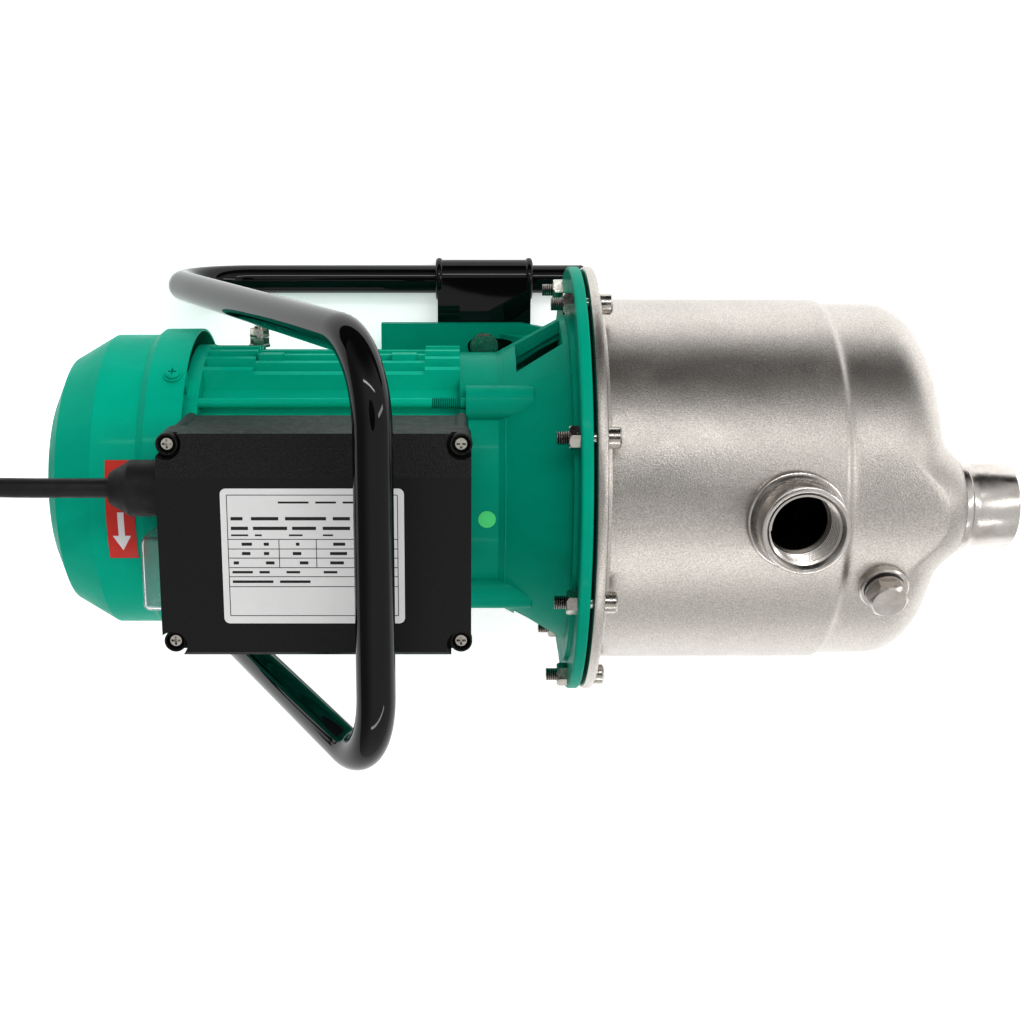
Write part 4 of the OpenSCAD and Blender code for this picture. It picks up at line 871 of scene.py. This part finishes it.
class PUMP_OT_housing(bpy.types.Operator):
    """Presses the pump housing from sheet, with its step and its swollen nose"""
    bl_idname = "pump.housing"
    bl_label = "Pump housing"

    def execute(self, context):
        front_x = 0.1735                # where the side starts to turn into the nose
        corner_r, corner_x, corner_end = 0.026, 0.0235, 12
        axis = (0, 0, SHAFT_Z)
        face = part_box("pump_housing")[0].x
        back = face + FLANGE_T
        profile = [
            (HOUSING_R, back + 0.0029), (HOUSING_R, 0.1452), (0.0911, 0.1466),
            (0.0905, 0.1478), (0.0898, 0.1488), (0.0894, 0.1502), (FRONT_R, STEP_END_X),
            (FRONT_R, 0.1590), (FRONT_R, 0.1660), (FRONT_R, front_x)]
        for i in range(1, 15):
            a = math.radians(90 - i * (90 - corner_end) / 14)
            profile.append((FRONT_R - corner_r + corner_r * math.sin(a),
                            front_x + corner_x * math.cos(a)))
        edge_r, edge_x = profile[-1]
        for i in range(1, 25):
            r = edge_r + (0.0015 - edge_r) * i / 24
            profile.append((r, edge_x + (edge_r - r) * 0.11))
        clear_selection()
        start = (profile[0][1], 0, SHAFT_Z)
        shell = start_ring("housing_sheet", start, HOUSING_R, (1, 0, 0), 160)
        turn_profile(axis, (1, 0, 0), profile)
        bpy.ops.mesh.edge_face_add()
        outwards()
        bpy.ops.object.mode_set(mode="OBJECT")
        bpy.ops.object.transform_apply(location=True, rotation=True, scale=True)
        for vertex in shell.data.vertices:
            x, y, z = vertex.co
            if x > STEP_END_X + 0.0010:
                reach = nose_reach(y, z - SHAFT_Z)
                if x <= front_x + 1e-5:
                    share = (x - STEP_END_X) / (front_x - STEP_END_X)
                    vertex.co.x = x + share * (soft_max(front_x, reach) - front_x)
                else:
                    vertex.co.x = min(soft_max(x, reach), max(x, NOSE_LIMIT_X))
        nose = shell.vertex_groups.new(name="nose")
        swollen = [v.index for v in shell.data.vertices if v.co.x > STEP_END_X + 0.0005]
        nose.add(swollen, 1.0, "REPLACE")
        modify(shell, "SMOOTH", factor=0.5, iterations=6, vertex_group="nose")
        modify(shell, "SOLIDIFY", thickness=HOUSING_WALL, offset=-1)
        port_hole, plug_hole = 0.0143, 0.0089
        cut_hole(shell, (DISCHARGE_X, 0, SHAFT_Z + HOUSING_R), (0, 0, 1), port_hole, 0.012)
        cut_hole(shell, (SUCTION_X, 0, SHAFT_Z + SUCTION_RISE), (1, 0, 0), port_hole, 0.012)
        cut_hole(shell, (DRAIN_X, 0, SHAFT_Z + DRAIN_RISE), (1, 0, 0), plug_hole, 0.012)
        filler = Vector((0, -math.sin(FILLER_LEAN), math.cos(FILLER_LEAN)))
        filler_seat = Vector((FILLER_X, 0, SHAFT_Z)) + filler * FRONT_R
        cut_hole(shell, filler_seat, filler, plug_hole, 0.008)
        finish_mesh(shell, 40)
        inner, root, rim = HOUSING_R - HOUSING_WALL, 0.003, FLANGE_R
        flange = turned("housing_flange", axis, (1, 0, 0), [
            (inner, face), (rim - 0.0016, face), (rim - 0.0005, face + 0.0005),
            (rim, face + 0.0016), (rim, back - 0.0016), (rim - 0.0005, back - 0.0005),
            (rim - 0.0016, back), (HOUSING_R + root, back), (HOUSING_R + 0.0009, back + 0.0009),
            (HOUSING_R, back + root), (inner, back + root), (inner, face)], 160, close=True)
        finish_mesh(flange, 40)
        place_on(join([shell, flange], "housing_sheet"), UNIT,
                 "blasted_sheet", ["pump_housing"])
        return {"FINISHED"}


def add_bracket_lips():
    """The rounded lips at the ends of the foot bracket, halves of a torus on the runners."""
    lips = []
    for y in RUNNERS_Y:
        for x in (-0.0422, 0.0092):
            clear_selection()
            bpy.ops.mesh.primitive_torus_add(
                location=(x, y, RUNNER_Z), rotation=(0, math.radians(90), 0),
                major_segments=64, minor_segments=20,
                major_radius=0.0102, minor_radius=0.0021)
            lip = named_piece("bracket_lip")
            bpy.ops.object.transform_apply(location=True, rotation=True, scale=True)
            bpy.ops.object.mode_set(mode="EDIT")
            bpy.ops.mesh.select_all(action="SELECT")
            bpy.ops.mesh.bisect(plane_co=(0, 0, RUNNER_Z), plane_no=(0, 0, 1),
                                clear_inner=True, use_fill=True)
            outwards()
            bpy.ops.object.mode_set(mode="OBJECT")
            finish_mesh(lip)
            lips.append(lip)
    place_on(join(lips, "bracket_lips"), UNIT, "black_enamel")


def add_screw_rims():
    """A rim around each screw of the box's lid, and the column below it."""
    rims = []
    for x in LID_SCREWS_X:
        for y in LID_SCREWS_Y:
            rim = turned("screw_rim", (x, y, SHAFT_Z + POCKET_RISE), (0, 0, 1), [
                (0.0038, -0.0002), (0.0048, -0.0002), (0.0048, 0.0040), (0.0046, 0.0045),
                (0.0041, 0.0045), (0.0038, 0.0041), (0.0038, -0.0002)], 48, close=True)
            finish_mesh(rim)
            rims.append(rim)
            foot = (x, y, SHAFT_Z + BOX_FLOOR_RISE)
            column = turned("screw_column", foot, (0, 0, 1), [
                (0.0023, 0.0005), (0.0030, 0.0), (0.0033, 0.0006), (0.0033, 0.0372),
                (0.0023, 0.0372), (0.0023, 0.0005)], 40, close=True)
            finish_mesh(column)
            rims.append(column)
    place_on(join(rims, "screw_rims"), UNIT, "black_plastic")


def add_switch_cover():
    """The clear cover over the rocker, with a wider edge against the box."""
    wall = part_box("switch_splash_cover")[1].x
    middle = Vector((wall - 0.0088, SWITCH_Y, SHAFT_Z + SWITCH_RISE))
    clear_selection()
    bpy.ops.mesh.primitive_cube_add(size=1, location=middle)
    cover = named_piece("switch_cover")
    bpy.ops.object.mode_set(mode="EDIT")
    bpy.ops.transform.resize(value=(0.0170, 0.034, 0.027), center_override=middle)
    bpy.ops.mesh.bevel(offset=0.0028, segments=4, affect="EDGES")
    bpy.ops.mesh.select_all(action="SELECT")
    bpy.ops.mesh.bisect(
        plane_co=(wall - 0.0035, 0, 0), plane_no=(1, 0, 0), clear_outer=True)
    bpy.ops.mesh.select_all(action="DESELECT")
    bpy.ops.mesh.select_non_manifold(extend=False)
    extrude_by((0.0020, 0, 0))
    bpy.ops.transform.resize(value=(1, 1.10, 1.12), center_override=middle)
    extrude_by((0.0013, 0, 0))
    outwards()
    bpy.ops.object.mode_set(mode="OBJECT")
    modify(cover, "SOLIDIFY", thickness=0.0010, offset=-1)
    finish_mesh(cover)
    place_on(cover, UNIT, "clear_plastic", ["switch_splash_cover"])


class PUMP_OT_small_pieces(bpy.types.Operator):
    """Adds the foot bracket's lips, the box's screw columns and rims, and the switch cover"""
    bl_idname = "pump.small_pieces"
    bl_label = "Small pieces"

    def execute(self, context):
        add_bracket_lips()
        add_screw_rims()
        add_switch_cover()
        return {"FINISHED"}


def bar(place, length, width):
    """Adds a flat bar to the mesh being edited; place is its middle."""
    bpy.ops.mesh.primitive_plane_add(size=1, location=place)
    bpy.ops.transform.resize(value=(length, width, 1), center_override=place)


class PUMP_OT_rating_print(bpy.types.Operator):
    """Rules the frame, the table and blank dashes on the rating plate"""
    bl_idname = "pump.rating_print"
    bl_label = "Rating plate print"

    def execute(self, context):
        line = context.scene.jet_pump_sizes.print_line
        low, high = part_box("rating_plate")
        z = high.z + 0.00003
        left, right = low.x + 0.0028, high.x - 0.0028
        top, bottom = high.y - 0.0028, low.y + 0.0035
        # Rules and dashes are given by their drop below the plate's upper edge; along it they
        # start at a share of the width and are a share of it long
        rows = [0.0220, 0.0262, 0.0302, 0.0344, 0.0384, 0.0428]
        clear_selection()
        bpy.ops.mesh.primitive_plane_add(size=1, location=(0, 0, z))
        printed = named_piece("rating_print")
        bpy.ops.object.mode_set(mode="EDIT")
        bpy.ops.mesh.delete(type="VERT")
        middle = (left + right) / 2
        for y in (top, bottom):
            bar((middle, y, z), right - left, line)
        for x in (left, right):
            bar((x, (top + bottom) / 2, z), line, top - bottom)
        for drop in rows:
            bar((middle, high.y - drop, z), right - left, line)
        for share in (0.30, 0.52, 0.76):
            bar((left + share * (right - left), high.y - (rows[0] + rows[3]) / 2, z),
                line, rows[3] - rows[0])
        dashes = [
            (0.0060, ((0.30, 0.18), (0.52, 0.12), (0.68, 0.20), (0.86, 0.08)), 0.0008),
            (0.0130, ((0.02, 0.07), (0.14, 0.16), (0.34, 0.24), (0.62, 0.10)), 0.0014),
            (0.0172, ((0.02, 0.10), (0.15, 0.20), (0.38, 0.14), (0.56, 0.16)), 0.0014),
            (0.0202, ((0.02, 0.10), (0.16, 0.04), (0.36, 0.08), (0.56, 0.06)), 0.0007),
            (0.0241, ((0.08, 0.06), (0.21, 0.03), (0.40, 0.02), (0.62, 0.07)), 0.0013),
            (0.0282, ((0.08, 0.05), (0.21, 0.03), (0.38, 0.05), (0.60, 0.10)), 0.0013),
            (0.0323, ((0.03, 0.03), (0.22, 0.05), (0.42, 0.05), (0.60, 0.08)), 0.0013),
            (0.0364, ((0.02, 0.12), (0.18, 0.06), (0.34, 0.08), (0.56, 0.08)), 0.0010),
            (0.0406, ((0.02, 0.24), (0.30, 0.18),), 0.0011),
        ]
        for drop, parts, thick in dashes:
            for share, length in parts:
                span = (right - left) * length
                bar((left + share * (right - left) + span / 2, high.y - drop, z), span, thick)
        outwards()
        bpy.ops.object.mode_set(mode="OBJECT")
        finish_mesh(printed)
        place_on(printed, UNIT, "print_black")
        return {"FINISHED"}


class PUMP_OT_rotation_arrow(bpy.types.Operator):
    """Lays a white arrow on the red label of the fan cover"""
    bl_idname = "pump.rotation_arrow"
    bl_label = "Rotation arrow"

    def execute(self, context):
        low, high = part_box("rotation_label")
        x = (low.x + high.x) / 2
        z = high.z + 0.0006
        shaft, head = (x, -0.0065, z), (x, -0.0145, z)
        clear_selection()
        bpy.ops.mesh.primitive_plane_add(size=1, location=shaft)
        arrow = named_piece("rotation_arrow")
        bpy.ops.object.mode_set(mode="EDIT")
        bpy.ops.transform.resize(value=(0.0030, 0.0120, 1), center_override=shaft)
        bpy.ops.mesh.primitive_circle_add(
            vertices=3, radius=0.0050, fill_type="NGON", location=head,
            rotation=(0, 0, math.radians(180)))
        bpy.ops.mesh.select_all(action="SELECT")
        bpy.ops.mesh.subdivide(number_cuts=10)
        outwards()
        bpy.ops.object.mode_set(mode="OBJECT")
        bpy.ops.object.transform_apply(location=True, rotation=True, scale=True)
        label_r = high.z - SHAFT_Z + 0.00006
        for vertex in arrow.data.vertices:
            vertex.co.z = SHAFT_Z + math.sqrt(label_r ** 2 - vertex.co.y ** 2)
        modify(arrow, "SOLIDIFY", thickness=0.00005, offset=-1)
        finish_mesh(arrow)
        place_on(arrow, UNIT, "label_white")
        return {"FINISHED"}


STEPS = [
    PUMP_OT_camera, PUMP_OT_finishes, PUMP_OT_power_cord, PUMP_OT_stage,
    PUMP_OT_carry_frame, PUMP_OT_housing, PUMP_OT_port_sockets,
    PUMP_OT_small_pieces, PUMP_OT_rating_print, PUMP_OT_rotation_arrow,
]


class PUMP_PT_panel(bpy.types.Panel):
    """Lists the steps that build the pump, with its sizes and colours"""
    bl_idname = "PUMP_PT_panel"
    bl_label = "Jet pump"
    bl_space_type = "VIEW_3D"
    bl_region_type = "UI"
    bl_category = "Jet pump"

    def draw(self, context):
        for group in (context.scene.jet_pump_sizes, context.scene.jet_pump_looks):
            box = self.layout.box()
            for name in group.__annotations__:
                box.prop(group, name)
        for step in STEPS:
            self.layout.operator(step.bl_idname)


CLASSES = [JetPumpLooks, JetPumpSizes, *STEPS, PUMP_PT_panel]


def register():
    for cls in CLASSES:
        bpy.utils.register_class(cls)
    bpy.types.Scene.jet_pump_looks = bpy.props.PointerProperty(type=JetPumpLooks)
    bpy.types.Scene.jet_pump_sizes = bpy.props.PointerProperty(type=JetPumpSizes)


def unregister():
    del bpy.types.Scene.jet_pump_sizes
    del bpy.types.Scene.jet_pump_looks
    for cls in reversed(CLASSES):
        bpy.utils.unregister_class(cls)


def main():
    register()
    bpy.ops.pump.camera()
    bpy.ops.pump.finishes()
    bpy.ops.pump.power_cord()
    bpy.ops.pump.stage()
    bpy.ops.pump.carry_frame()
    bpy.ops.pump.housing()
    bpy.ops.pump.port_sockets()
    bpy.ops.pump.small_pieces()
    bpy.ops.pump.rating_print()
    bpy.ops.pump.rotation_arrow()


if __name__ == "__main__":
    main()
